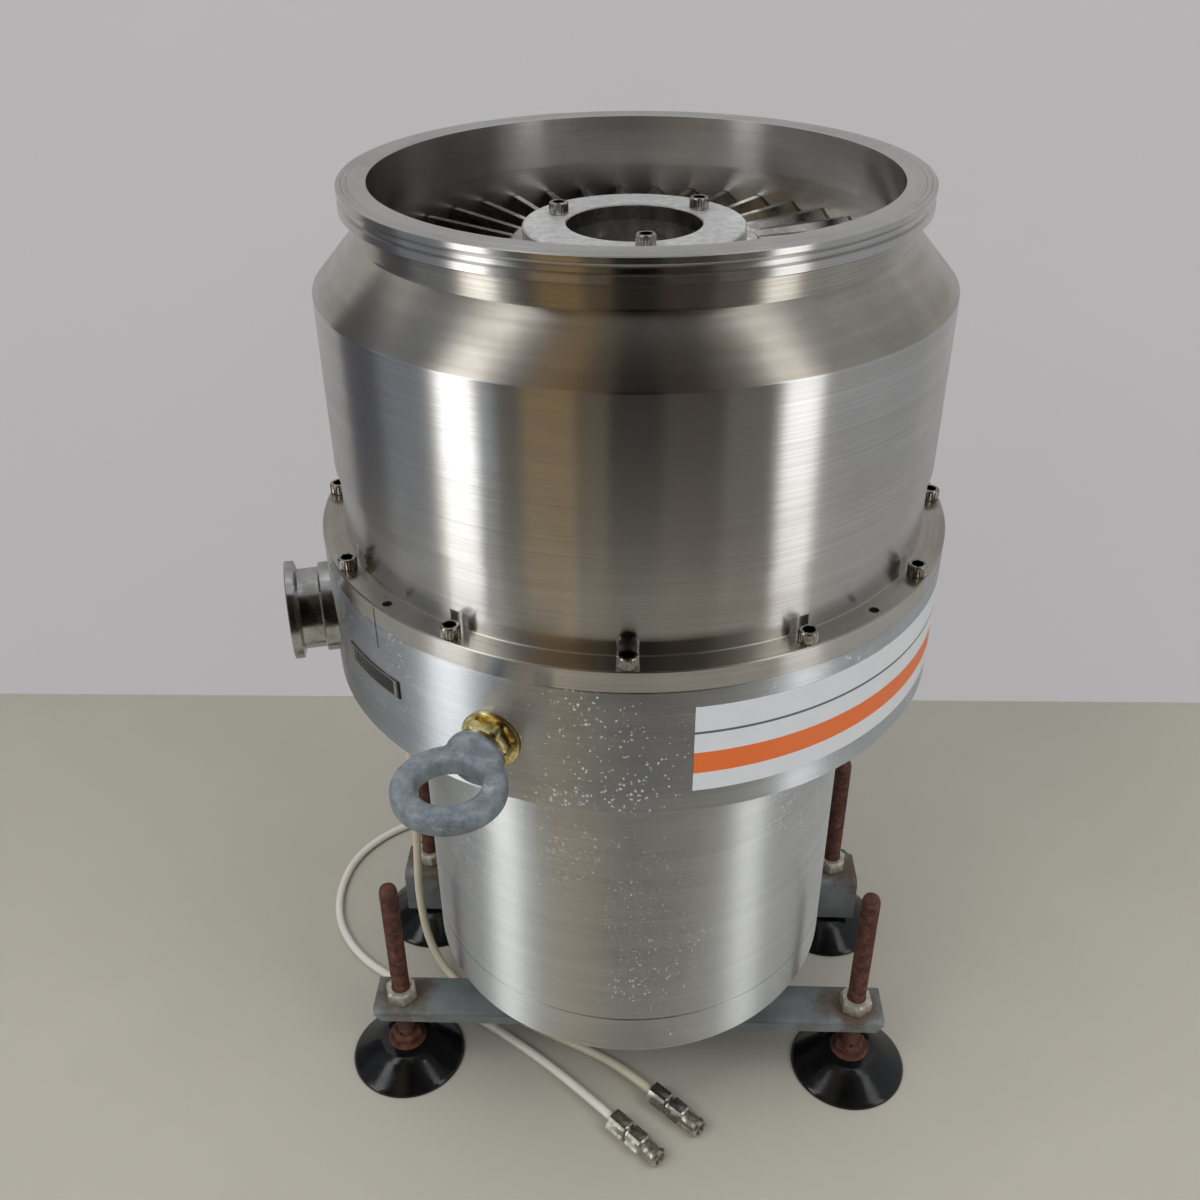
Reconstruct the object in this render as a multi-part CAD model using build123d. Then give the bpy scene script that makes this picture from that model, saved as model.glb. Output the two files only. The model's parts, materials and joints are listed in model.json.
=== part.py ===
from build123d import *
import math
import os

# Turbomolecular pump with a DN 250 ISO-K inlet, standing on a lab frame with levelling feet.
# Millimetres. The origin is the centre of the inlet sealing face and +Z points out of the inlet,
# so the pump hangs below z = 0. Heights are written as drops below the inlet face.

# ---- inlet casing, turned from stainless steel ----
INLET_RIM_D = 290.0
RIM_LAND = 14.5
RIM_STEP = 6.25
INLET_RIM_T = 12.0
RIM_GROOVE_R = 2.5
RIM_GROOVE_DROP = 5.5
THROAT_LEN = 26.6
NECK_END = 24.0
CONE_END = 50.0
CASING_BORE_D = 300.0
CASING_WALL = 12.0
CASING_SEAM = 140.2
SEAM_STEP = 1.8
CASING_SHOULDER = 48.0
FLANGE_OVERHANG = 11.0
FLANGE_TOP = 179.2
FLANGE_T = 11.8
EDGE_BREAK = 0.8

# ---- casing screws and jacking holes ----
SCREW_INSET = 5.5
SCREW_COUNT = 12
M6_D = 6.0
M6_HEAD_D = 10.0
M6_HEAD_H = 6.0
M6_KEY_AF = 5.0
M6_CLEAR_D = 6.6
M6_TAP_D = 5.0
M6_SUNK = 1.0
CASING_SCREW_LEN = 30.0
SPOT_FACE_D = 18.0
SPOT_FACE_H = 9.0
JACK_COUNT = 4
JACK_FIRST_DEG = 45.0

# ---- base housing, aluminium ----
BASE_H = 73.0
BASE_LEDGE_W = 2.0
BASE_FLOOR_T = 12.0
SKIRT_D = 265.0
SKIRT_WALL = 12.5
SKIRT_LEN = 75.0
FLOOR_WEB_T = 2.0
SEAL_INSET = 7.0
SEAL_W = 4.0
SEAL_H = 3.0

# ---- motor housing, closure ring and bottom cover ----
BARREL_STEP = 1.5
BARREL_WALL = 10.0
BARREL_LEN = 128.0
RING_LEN = 30.0
RING_FLOOR_T = 10.0
RING_GROOVE_W = 1.2
RING_GROOVE_T = 1.5
COVER_D = 200.0
COVER_LEN = 32.0
COVER_BORE_D = 110.0
COVER_CAVITY_H = 20.0
BARREL_SEAL_W = 3.0
BARREL_SEAL_H = 2.0
BASE_SCREW_PCD = 170.0
BASE_SCREW_COUNT = 8

# ---- exhaust port, DN 40 ISO-KF ----
PORT_DEG = 195.0
PORT_LEN = 24.0
PORT_RIM_D = 55.0
PORT_RIM_T = 3.5
PORT_CONE_DEG = 15.0
PORT_CONE_FOOT = 1.0
PORT_BORE_D = 41.0
PORT_TUBE_D = 45.0
PORT_COLLAR_D = 50.0
PORT_COLLAR_T = 6.0
PORT_SPIGOT_LEN = 14.0

# ---- rotor ----
SPACER_WALL = 12.8
TIP_GAP = 1.2
HUB_TOP_DROP = 33.8
HUB_TOP_D = 124.0
HUB_SHOULDER_D = 150.0
HUB_SHOULDER_DROP = 46.0
HUB_LOW_D = 192.0
HUB_END = 184.0
HUB_WALL = 15.0
HUB_PLATE_T = 12.0
RECESS_D = 70.0
RECESS_END = 52.0
RECESS_SPIGOT_D = 24.0
BLADE_ROOT_SINK = 3.0
ROTOR_ROW_DROPS = (42.0, 79.0, 112.0, 142.0, 170.0)
ROTOR_ROW_HEIGHTS = (18.0, 15.0, 13.0, 11.0, 9.0)
ROTOR_BLADE_COUNTS = (40, 36, 36, 36, 36)
ROTOR_BLADE_DEGS = (40.0, 36.0, 32.0, 30.0, 28.0)
ROTOR_BLADE_TS = (2.2, 2.0, 1.8, 1.6, 1.4)
HUB_RING_D = 112.8
HUB_RING_BORE_D = 68.2
HUB_RING_T = 8.0
HUB_SCREW_PCD = 84.0
HUB_SCREW_COUNT = 3
HUB_SCREW_FIRST_DEG = 38.0
HUB_SCREW_LEN = 14.0

# ---- stator discs and the rings between them ----
ROW_GAP = 2.5
STATOR_BLADE_COUNT = 30
STATOR_BLADE_DEG = 38.0
STATOR_BLADE_T = 1.6
STATOR_RIM_T = 4.0
STATOR_INNER_RING_W = 3.5
STATOR_INNER_RING_H = 2.5
STATOR_HUB_GAP = 1.5
STATOR_SPLIT = 0.3
STATOR_TIP_TRIM = 0.3
STATOR_BLADE_SINK = 1.0
RING_SLIP = 0.1

# ---- shaft, magnets and motor ----
SHAFT_D = 32.0
SHAFT_FLANGE_D = 68.0
SHAFT_FLANGE_T = 10.0
SHAFT_END = 402.0
ROTOR_BOLT_PCD = 46.0
ROTOR_BOLT_COUNT = 6
M8_D = 8.0
M8_HEAD_D = 13.0
M8_HEAD_H = 8.0
M8_KEY_AF = 6.0
M8_CLEAR_D = 8.4
ROTOR_BOLT_LEN = 20.0
COLUMN_D = 104.0
COLUMN_BORE_D = 80.0
COLUMN_TOP = 84.0
COLUMN_HEAD_T = 24.0
COLUMN_FLANGE_D = 176.0
COLUMN_FLANGE_T = 12.0
COLUMN_END = 324.0
COLUMN_RUNNING_GAP = 3.0
TOUCHDOWN_D = 52.0
TOUCHDOWN_T = 12.0
TOUCHDOWN_GAP = 0.2
TOUCHDOWN_TRACK = 1.5
TOUCHDOWN_TRACK_W = 4.0
SENSOR_D = 52.0
SENSOR_T = 8.0
SENSOR_GAP = 0.5
MAGNET_SLEEVE_D = 48.0
MAGNET_GAP = 0.4
MAGNET_T = 30.0
MAGNET_DROPS = (112.0, 278.0)
MAGNET_POLE_COUNT = 8
MAGNET_POLE_FIRST_DEG = 22.5
MAGNET_SLOT_D = 5.5
MAGNET_POLE_TIP = 1.0
MOTOR_TOP = 172.0
MOTOR_T = 76.0
MOTOR_SLEEVE_D = 44.0
MOTOR_GAP = 0.6
MOTOR_SLOT_COUNT = 12
MOTOR_SLOT_D = 6.0
AXIAL_D = 140.0
AXIAL_WALL = 10.0
AXIAL_COLLAR_T = 2.0
AXIAL_BORE_GAP = 8.0
AXIAL_MAGNET_D = 118.0
AXIAL_MAGNET_T = 18.0
THRUST_D = 100.0
THRUST_T = 8.0
THRUST_GAP = 0.4
THRUST_TOP = 352.4
THRUST_NUT_AF = 46.0
THRUST_NUT_T = 9.0
THRUST_SEAT_D = 24.0

# ---- lifting eye M12 and its washers ----
EYE_DEG = -112.0
EYE_RING_D = 54.0
EYE_HOLE_D = 30.0
EYE_SECTION = 12.0
EYE_SEAT = 15.0
EYE_CENTRE = 26.5
EYE_COLLAR_D = 30.0
EYE_COLLAR_T = 6.0
EYE_SHANK_D = 12.0
EYE_SHANK_LEN = 34.0
EYE_NUT_AF = 27.0
EYE_NUT_T = 9.0
EYE_WASHER_D = 36.0
EYE_OUTER_WASHER_D = 32.0
EYE_NECK_INSET = 3.0
EYE_NECK_OVER = 1.0
EYE_NECK_SINK = 2.0

# ---- plates ----
ADHESIVE_T = 0.1
LABEL_FROM_DEG = -79.5
LABEL_TO_DEG = -19.0
LABEL_TOP = 200.5
LABEL_H = 50.0
LABEL_T = 0.3
PLATE_FROM_DEG = -147.5
PLATE_TO_DEG = -131.5
PLATE_TOP = 218.5
PLATE_H = 10.5
PLATE_T = 0.6

# ---- socket and cooling-water fittings ----
SOCKET_DEG = 90.0
SOCKET_DROP = 440.0
SOCKET_D = 34.0
SOCKET_LEN = 22.0
SOCKET_FLANGE = 42.0
SOCKET_FLANGE_T = 4.0
SOCKET_WALL = 2.5
SOCKET_HOLE_D = 26.0
PIN_COUNT = 8
PIN_D = 2.5
PIN_PCD = 18.0
PIN_SET_BACK = 6.0
HOSE_D = 6.0
FITTING_DEGS = (170.5, 105.5)
FITTING_BODY_AF = 14.0
FITTING_BODY_T = 16.0
FITTING_NUT_AF = 12.0
FITTING_NUT_T = 18.0
FITTING_THREAD_D = 10.0
FITTING_THREAD_LEN = 8.0
FITTING_NECK_T = 2.0
FITTING_NECK_D = 10.0

# ---- stand ----
BAR_LEN = 342.0
BAR_INNER = 48.0
BAR_TOP_W = 34.5
BAR_DROP_H = 38.0
BAR_T = 5.0
BAR_CORNER_R = 6.0
FOOT_INSET = 18.0
ROD_D = 11.9
ROD_TIP_BEVEL = 1.0
ROD_HOLE_D = 12.0
ROD_ABOVE_NUT = 93.0
JAM_NUT_AF = 19.0
JAM_NUT_T = 10.0
FLOOR_DROP = 587.0
PAD_D = 77.0
PAD_TOP_D = 50.0
PAD_H = 17.0
PAD_LIP_H = 2.5
PAD_ROUND_W = 2.5
PAD_ROUND_H = 1.5
PAD_SOCKET_DEPTH = 3.0
WASHER_D = 26.0
WASHER_T = 1.5
FOOT_HEX_AF = 18.0
FOOT_HEX_T = 7.0
BAR_BOLT_X = 50.0
BAR_BOLT_LEN = 20.0

# ---- hoses on their fittings and on the floor ----
FLOOR_LIFT = 0.1
HOSE_FLOOR = -FLOOR_DROP + HOSE_D / 2 + FLOOR_LIFT
END_FITTING_LEN = 42.0
END_NUT_AF = 14.0
END_NUT_T = 15.0
END_BODY_AF = 14.0
END_BODY_T = 12.0
END_THREAD_D = 13.0
END_NECK_D = 11.0
END_NECK_LEN = 2.0
END_BORE_D = 8.0
END_BORE_LEN = 14.0
HOSE_END = -FLOOR_DROP + END_NUT_AF / 2 + FLOOR_LIFT
HOSE_B_STRAIGHT = 60.0
HOSE_A_STRAIGHT = 55.0
ARC_SHARE = 0.45

CUT_PAST = 1.0  # how far a cutting shape runs past the face that it opens

# ---- places that follow from the sizes above ----
CASING_D = CASING_BORE_D + 2 * CASING_WALL
CASING_LOW_D = CASING_D - 2 * SEAM_STEP
FLANGE_D = CASING_D + 2 * FLANGE_OVERHANG
SCREW_PCD = FLANGE_D - 2 * SCREW_INSET
BASE_BORE_D = CASING_BORE_D - 2 * BASE_LEDGE_W
SEAL_MEAN_D = CASING_BORE_D + 2 * SEAL_INSET
SKIRT_BORE_D = SKIRT_D - 2 * SKIRT_WALL
BARREL_D = SKIRT_D - 2 * BARREL_STEP
BARREL_BORE_D = BARREL_D - 2 * BARREL_WALL
INLET_BORE_D = INLET_RIM_D - 2 * RIM_LAND
NECK_D = INLET_RIM_D - 2 * RIM_STEP
SWEPT_D = CASING_BORE_D - 2 * SPACER_WALL
TIP_D = SWEPT_D - 2 * TIP_GAP
PORT_REACH = FLANGE_D / 2 + PORT_LEN
FITTING_R = (FLANGE_D + SKIRT_D) / 4
FOOT_X = BAR_LEN / 2 - FOOT_INSET
FOOT_Y = BAR_INNER + FOOT_INSET
FLANGE_END = FLANGE_TOP + FLANGE_T
BASE_END = FLANGE_END + BASE_H
PLENUM_END = BASE_END - BASE_FLOOR_T - FLOOR_WEB_T
FLOOR_END = PLENUM_END + BASE_FLOOR_T
SKIRT_END = BASE_END + SKIRT_LEN
BARREL_END = SKIRT_END + BARREL_LEN
RING_END = BARREL_END + RING_LEN
COVER_END = RING_END + COVER_LEN
BAR_TOP = COVER_END
BAR_UNDER = BAR_TOP + BAR_T
PORT_DROP = FLANGE_END + BASE_H / 2
HUB_RING_TOP = HUB_TOP_DROP - HUB_RING_T
PLATE_END = RECESS_END + HUB_PLATE_T
SHAFT_FLANGE_END = PLATE_END + SHAFT_FLANGE_T
STATOR_ROWS = [
    (drop + height + ROW_GAP, next_drop - drop - height - 2 * ROW_GAP)
    for drop, height, next_drop in zip(ROTOR_ROW_DROPS, ROTOR_ROW_HEIGHTS, ROTOR_ROW_DROPS[1:])
]


def hub_radius(drop):
    """Outer radius of the bell-shaped hub at a drop below the inlet face."""
    if drop < HUB_SHOULDER_DROP:
        share = (drop - HUB_TOP_DROP) / (HUB_SHOULDER_DROP - HUB_TOP_DROP)
        return (HUB_TOP_D + (HUB_SHOULDER_D - HUB_TOP_D) * share) / 2
    share = (drop - HUB_SHOULDER_DROP) / (HUB_END - HUB_SHOULDER_DROP)
    return (HUB_SHOULDER_D + (HUB_LOW_D - HUB_SHOULDER_D) * share) / 2


def turned(profile):
    """Solid of revolution about Z from (radius, drop) corners."""
    outline = Polyline(*[(radius, 0, -drop) for radius, drop in profile], close=True)
    return revolve(make_face(outline), Axis.Z)


def tube(outer_d, inner_d, top, end):
    """Plain ring between two drops."""
    return turned([(inner_d / 2, top), (outer_d / 2, top), (outer_d / 2, end), (inner_d / 2, end)])


def disc(diameter, top, end):
    """Plain round between two drops."""
    return Pos(0, 0, -(top + end) / 2) * Cylinder(diameter / 2, end - top)


def hexagon(across_flats, top, end):
    """Hexagonal prism between two drops."""
    section = RegularPolygon(across_flats / 2, 6, major_radius=False)
    return Pos(0, 0, -end) * extrude(section, end - top)


def around(count, radius, first_deg=0.0):
    """Places on a circle about the pump axis, each turned to face outwards."""
    step = 360.0 / count
    return [Rot(0, 0, first_deg + i * step) * Pos(radius, 0, 0) for i in range(count)]


def group(shapes):
    """Several separate solids kept in one node."""
    return Compound(children=[solid for shape in shapes for solid in shape.solids()])


def cap_screw(d, head_d, head_h, key_af, length):
    """Socket-head cap screw with its seat at z = 0 and its head above."""
    head = disc(head_d, -head_h, 0)
    head = head - hexagon(key_af, -head_h, -head_h / 2)
    return head + disc(d, 0, length)


def m6_screw(length):
    return cap_screw(M6_D, M6_HEAD_D, M6_HEAD_H, M6_KEY_AF, length)


def m8_screw(length):
    return cap_screw(M8_D, M8_HEAD_D, M8_HEAD_H, M8_KEY_AF, length)


def inlet_body():
    """Stainless casing: clamp rim, neck, cone, barrel and bolting flange in one piece."""
    rim_r = INLET_RIM_D / 2
    shell = turned([
        (INLET_BORE_D / 2, 0),
        (rim_r, 0),
        (rim_r, INLET_RIM_T),
        (NECK_D / 2, INLET_RIM_T),
        (NECK_D / 2, NECK_END),
        (CASING_D / 2, CONE_END),
        (CASING_D / 2, CASING_SEAM),
        (CASING_LOW_D / 2, CASING_SEAM + EDGE_BREAK),
        (CASING_LOW_D / 2, FLANGE_TOP),
        (FLANGE_D / 2 - EDGE_BREAK, FLANGE_TOP),
        (FLANGE_D / 2, FLANGE_TOP + EDGE_BREAK),
        (FLANGE_D / 2, FLANGE_END),
        (CASING_BORE_D / 2, FLANGE_END),
        (CASING_BORE_D / 2, CASING_SHOULDER),
        (SWEPT_D / 2, CASING_SHOULDER),
        (SWEPT_D / 2, THROAT_LEN),
        (INLET_BORE_D / 2, THROAT_LEN),
    ])
    groove = Pos(0, 0, -RIM_GROOVE_DROP) * Torus(rim_r, RIM_GROOVE_R)
    cuts = [groove]
    for place in around(SCREW_COUNT, SCREW_PCD / 2):
        cuts.append(place * disc(M6_CLEAR_D, FLANGE_TOP - CUT_PAST, FLANGE_END + CUT_PAST))
        cuts.append(place * disc(SPOT_FACE_D, FLANGE_TOP - SPOT_FACE_H, FLANGE_TOP))
    for place in around(JACK_COUNT, SCREW_PCD / 2, JACK_FIRST_DEG):
        cuts.append(place * disc(M6_TAP_D, FLANGE_TOP - CUT_PAST, FLANGE_END + CUT_PAST))
    return shell - cuts


def body_screws():
    screw = Pos(0, 0, -FLANGE_TOP) * m6_screw(CASING_SCREW_LEN)
    return group([place * screw for place in around(SCREW_COUNT, SCREW_PCD / 2)])


def body_seal():
    """Squeezed ring seal that fills its groove in the base housing."""
    return tube(SEAL_MEAN_D + SEAL_W, SEAL_MEAN_D - SEAL_W, FLANGE_END, FLANGE_END + SEAL_H)


def base_housing():
    """Aluminium base: gas plenum above a floor, with the skirt of the motor barrel below."""
    shell = turned([
        (BASE_BORE_D / 2, FLANGE_END),
        (FLANGE_D / 2, FLANGE_END),
        (FLANGE_D / 2, BASE_END - EDGE_BREAK),
        (FLANGE_D / 2 - EDGE_BREAK, BASE_END),
        (SKIRT_D / 2, BASE_END),
        (SKIRT_D / 2, SKIRT_END),
        (SKIRT_BORE_D / 2, SKIRT_END),
        (SKIRT_BORE_D / 2, FLOOR_END),
        (COLUMN_D / 2, FLOOR_END),
        (COLUMN_D / 2, PLENUM_END),
        (BASE_BORE_D / 2, PLENUM_END),
    ])
    cuts = [body_seal(), at_port(disc(PORT_TUBE_D, -PORT_REACH, -BASE_BORE_D / 4))]
    for place in around(SCREW_COUNT, SCREW_PCD / 2):
        cuts.append(place * disc(M6_D, FLANGE_END - CUT_PAST, FLANGE_TOP + CASING_SCREW_LEN))
    eye_tip = FLANGE_D / 2 + EYE_SEAT - EYE_SHANK_LEN
    cuts.append(at_eye(disc(EYE_SHANK_D, -FLANGE_D, -eye_tip)))
    for degrees in FITTING_DEGS:
        place = Rot(0, 0, degrees) * Pos(FITTING_R, 0, 0)
        thread_top = BASE_END - FITTING_THREAD_LEN
        cuts.append(place * disc(FITTING_THREAD_D, thread_top, BASE_END + CUT_PAST))
    return shell - cuts


def at_port(shape):
    """Place a shape made along +Z so that +Z runs out along the exhaust port."""
    return Rot(0, 0, PORT_DEG) * Pos(0, 0, -PORT_DROP) * Rot(0, 90, 0) * shape


def exhaust_port():
    """DN 40 ISO-KF stub: rim with a clamp cone, tube, weld collar and spigot in the housing wall."""
    neck_reach = PORT_REACH - PORT_RIM_T
    cone_rise = (PORT_RIM_D - PORT_TUBE_D) / 2 * math.tan(math.radians(PORT_CONE_DEG))
    cone_len = cone_rise + PORT_CONE_FOOT
    wall_r = FLANGE_D / 2
    stub = turned([
        (PORT_BORE_D / 2, -PORT_REACH),
        (PORT_RIM_D / 2, -PORT_REACH),
        (PORT_RIM_D / 2, -neck_reach),
        (PORT_TUBE_D / 2, -neck_reach + cone_len),
        (PORT_TUBE_D / 2, -wall_r - PORT_COLLAR_T),
        (PORT_COLLAR_D / 2, -wall_r - PORT_COLLAR_T),
        (PORT_COLLAR_D / 2, -wall_r + PORT_SPIGOT_LEN / 2),
        (PORT_TUBE_D / 2, -wall_r + PORT_SPIGOT_LEN / 2),
        (PORT_TUBE_D / 2, -wall_r + PORT_SPIGOT_LEN),
        (PORT_BORE_D / 2, -wall_r + PORT_SPIGOT_LEN),
    ])
    wall = disc(FLANGE_D, FLANGE_END, BASE_END)
    wall = wall - at_port(disc(PORT_TUBE_D, -PORT_REACH, 0))
    return at_port(stub) - wall


def motor_housing():
    """Barrel round the motor and the magnet electronics, closed below by the closure ring."""
    barrel = tube(BARREL_D, BARREL_BORE_D, SKIRT_END, BARREL_END)
    hole = at_socket(disc(SOCKET_HOLE_D, -BARREL_D, 0))
    return barrel - [hole, barrel_seal()]


def barrel_seal():
    mean_d = (BARREL_D + BARREL_BORE_D) / 2
    return tube(mean_d + BARREL_SEAL_W, mean_d - BARREL_SEAL_W, SKIRT_END, SKIRT_END + BARREL_SEAL_H)


def closure_ring():
    """Cup that closes the barrel, with a shallow groove where the two meet."""
    outer_r = BARREL_D / 2
    cup = turned([
        (BARREL_BORE_D / 2, BARREL_END),
        (outer_r - RING_GROOVE_T, BARREL_END),
        (outer_r - RING_GROOVE_T, BARREL_END + RING_GROOVE_W),
        (outer_r, BARREL_END + RING_GROOVE_W),
        (outer_r, RING_END - EDGE_BREAK),
        (outer_r - EDGE_BREAK, RING_END),
        (0, RING_END),
        (0, RING_END - RING_FLOOR_T),
        (BARREL_BORE_D / 2, RING_END - RING_FLOOR_T),
    ])
    holes = [
        place * disc(M6_D, RING_END - RING_FLOOR_T - CUT_PAST, RING_END + CUT_PAST)
        for place in around(BASE_SCREW_COUNT, BASE_SCREW_PCD / 2)
    ]
    return cup - holes


def bottom_cover():
    """Foot of the pump: a thick cover that stands on the bars and takes their bolts."""
    cover = disc(COVER_D, RING_END, COVER_END)
    cuts = [disc(COVER_BORE_D, RING_END - CUT_PAST, RING_END + COVER_CAVITY_H)]
    seat = COVER_END - M6_HEAD_H - M6_SUNK
    for place in around(BASE_SCREW_COUNT, BASE_SCREW_PCD / 2):
        cuts.append(place * disc(M6_CLEAR_D, RING_END - CUT_PAST, COVER_END + CUT_PAST))
        cuts.append(place * disc(M6_HEAD_D + M6_SUNK, seat, COVER_END + CUT_PAST))
    for place in bar_bolt_places():
        cuts.append(place * disc(M8_D, BAR_UNDER - BAR_BOLT_LEN, COVER_END + CUT_PAST))
    return cover - cuts


def base_screws():
    seat = COVER_END - M6_HEAD_H - M6_SUNK
    screw = Pos(0, 0, -seat) * Rot(180, 0, 0) * m6_screw(seat - RING_END + RING_FLOOR_T - M6_SUNK)
    return group([place * screw for place in around(BASE_SCREW_COUNT, BASE_SCREW_PCD / 2)])


def blade(root_r, tip_r, top, height, lean_deg, thickness):
    """One flat inclined blade along +X; a positive lean goes clockwise on the way down."""
    run = height / math.tan(math.radians(abs(lean_deg)))
    if lean_deg < 0:
        run = -run
    width = thickness / math.sin(math.radians(abs(lean_deg)))
    middle = (width + run) / 2
    section = Polyline(
        (root_r, middle - width, -top),
        (root_r, middle, -top),
        (root_r, middle - run, -top - height),
        (root_r, middle - run - width, -top - height),
        close=True,
    )
    return extrude(make_face(section), amount=tip_r - root_r, dir=(1, 0, 0))


def rotor():
    """Bell-shaped hub with five rows of inclined blades, machined from one forging."""
    bell_top = hub_radius(PLATE_END) - HUB_WALL
    hub = turned([
        (RECESS_D / 2, HUB_TOP_DROP),
        (HUB_TOP_D / 2, HUB_TOP_DROP),
        (HUB_SHOULDER_D / 2, HUB_SHOULDER_DROP),
        (HUB_LOW_D / 2, HUB_END),
        (HUB_LOW_D / 2 - HUB_WALL, HUB_END),
        (bell_top, PLATE_END),
        (RECESS_SPIGOT_D / 2, PLATE_END),
        (RECESS_SPIGOT_D / 2, RECESS_END),
        (RECESS_D / 2, RECESS_END),
    ])
    holes = [
        place * disc(M8_CLEAR_D, RECESS_END - CUT_PAST, PLATE_END + CUT_PAST)
        for place in around(ROTOR_BOLT_COUNT, ROTOR_BOLT_PCD / 2)
    ]
    holes += [
        place * disc(M6_D, HUB_TOP_DROP - CUT_PAST, HUB_RING_TOP + HUB_SCREW_LEN)
        for place in around(HUB_SCREW_COUNT, HUB_SCREW_PCD / 2, HUB_SCREW_FIRST_DEG)
    ]
    hub = hub - holes
    blades = []
    rows = zip(
        ROTOR_ROW_DROPS, ROTOR_ROW_HEIGHTS, ROTOR_BLADE_COUNTS, ROTOR_BLADE_DEGS, ROTOR_BLADE_TS
    )
    for top, height, count, lean, thickness in rows:
        half_width = height / math.tan(math.radians(lean)) / 2 + thickness
        tip_r = math.sqrt((TIP_D / 2) ** 2 - half_width ** 2)
        one = blade(hub_radius(top) - BLADE_ROOT_SINK, tip_r, top, height, lean, thickness)
        blades += [Rot(0, 0, i * 360.0 / count) * one for i in range(count)]
    return hub + blades


def hub_ring():
    ring = tube(HUB_RING_D, HUB_RING_BORE_D, HUB_RING_TOP, HUB_TOP_DROP)
    holes = [
        place * disc(M6_D, HUB_RING_TOP - CUT_PAST, HUB_TOP_DROP + CUT_PAST)
        for place in around(HUB_SCREW_COUNT, HUB_SCREW_PCD / 2, HUB_SCREW_FIRST_DEG)
    ]
    return ring - holes


def hub_ring_screws():
    screw = Pos(0, 0, -HUB_RING_TOP) * m6_screw(HUB_SCREW_LEN)
    places = around(HUB_SCREW_COUNT, HUB_SCREW_PCD / 2, HUB_SCREW_FIRST_DEG)
    return group([place * screw for place in places])


def rotor_bolts():
    screw = Pos(0, 0, -RECESS_END) * m8_screw(ROTOR_BOLT_LEN)
    return group([place * screw for place in around(ROTOR_BOLT_COUNT, ROTOR_BOLT_PCD / 2)])


def rotor_shaft():
    """Shaft with the rotor flange and spigot at the top and a reduced thrust-disc seat below."""
    shaft = turned([
        (0, RECESS_END),
        (RECESS_SPIGOT_D / 2, RECESS_END),
        (RECESS_SPIGOT_D / 2, PLATE_END),
        (SHAFT_FLANGE_D / 2, PLATE_END),
        (SHAFT_FLANGE_D / 2, SHAFT_FLANGE_END),
        (SHAFT_D / 2, SHAFT_FLANGE_END),
        (SHAFT_D / 2, THRUST_TOP),
        (THRUST_SEAT_D / 2, THRUST_TOP),
        (THRUST_SEAT_D / 2, SHAFT_END),
        (0, SHAFT_END),
    ])
    holes = [
        place * disc(M8_D, PLATE_END - CUT_PAST, RECESS_END + ROTOR_BOLT_LEN)
        for place in around(ROTOR_BOLT_COUNT, ROTOR_BOLT_PCD / 2)
    ]
    return shaft - holes


def radial_magnet_rotors():
    """Laminated sleeves on the shaft, one under each radial magnet."""
    return group([tube(MAGNET_SLEEVE_D, SHAFT_D, top, top + MAGNET_T) for top in MAGNET_DROPS])


def magnet_stator(top):
    """Eight-pole radial magnet: a yoke with poles that reach to the air gap."""
    inner_d = MAGNET_SLEEVE_D + 2 * MAGNET_GAP
    ring = tube(COLUMN_BORE_D, inner_d, top, top + MAGNET_T)
    slot_r = (COLUMN_BORE_D / 2 + inner_d / 2) / 2
    slots = [
        place * disc(MAGNET_SLOT_D, top - CUT_PAST, top + MAGNET_T + CUT_PAST)
        for place in around(MAGNET_POLE_COUNT, slot_r - MAGNET_POLE_TIP, MAGNET_POLE_FIRST_DEG)
    ]
    return ring - slots


def radial_magnet_stators():
    return group([magnet_stator(top) for top in MAGNET_DROPS])


def motor_stator():
    inner_d = MOTOR_SLEEVE_D + 2 * MOTOR_GAP
    core = tube(COLUMN_BORE_D, inner_d, MOTOR_TOP, MOTOR_TOP + MOTOR_T)
    slot_r = (COLUMN_BORE_D / 2 + inner_d / 2) / 2
    slots = [
        place * disc(MOTOR_SLOT_D, MOTOR_TOP - CUT_PAST, MOTOR_TOP + MOTOR_T + CUT_PAST)
        for place in around(MOTOR_SLOT_COUNT, slot_r)
    ]
    return core - slots


def motor_rotor():
    return tube(MOTOR_SLEEVE_D, SHAFT_D, MOTOR_TOP, MOTOR_TOP + MOTOR_T)


def bearing_column():
    """Column inside the bell that holds the magnets and the motor, flanged to the base floor."""
    seat_end = COLUMN_TOP + TOUCHDOWN_T + SENSOR_T
    head_end = COLUMN_TOP + COLUMN_HEAD_T
    throat_r = SHAFT_D / 2 + COLUMN_RUNNING_GAP
    return turned([
        (TOUCHDOWN_D / 2, COLUMN_TOP),
        (COLUMN_D / 2, COLUMN_TOP),
        (COLUMN_D / 2, FLOOR_END),
        (COLUMN_FLANGE_D / 2, FLOOR_END),
        (COLUMN_FLANGE_D / 2, FLOOR_END + COLUMN_FLANGE_T),
        (COLUMN_D / 2, FLOOR_END + COLUMN_FLANGE_T),
        (COLUMN_D / 2, COLUMN_END),
        (COLUMN_BORE_D / 2, COLUMN_END),
        (COLUMN_BORE_D / 2, head_end),
        (throat_r, head_end),
        (throat_r, seat_end),
        (TOUCHDOWN_D / 2, seat_end),
    ])


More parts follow.
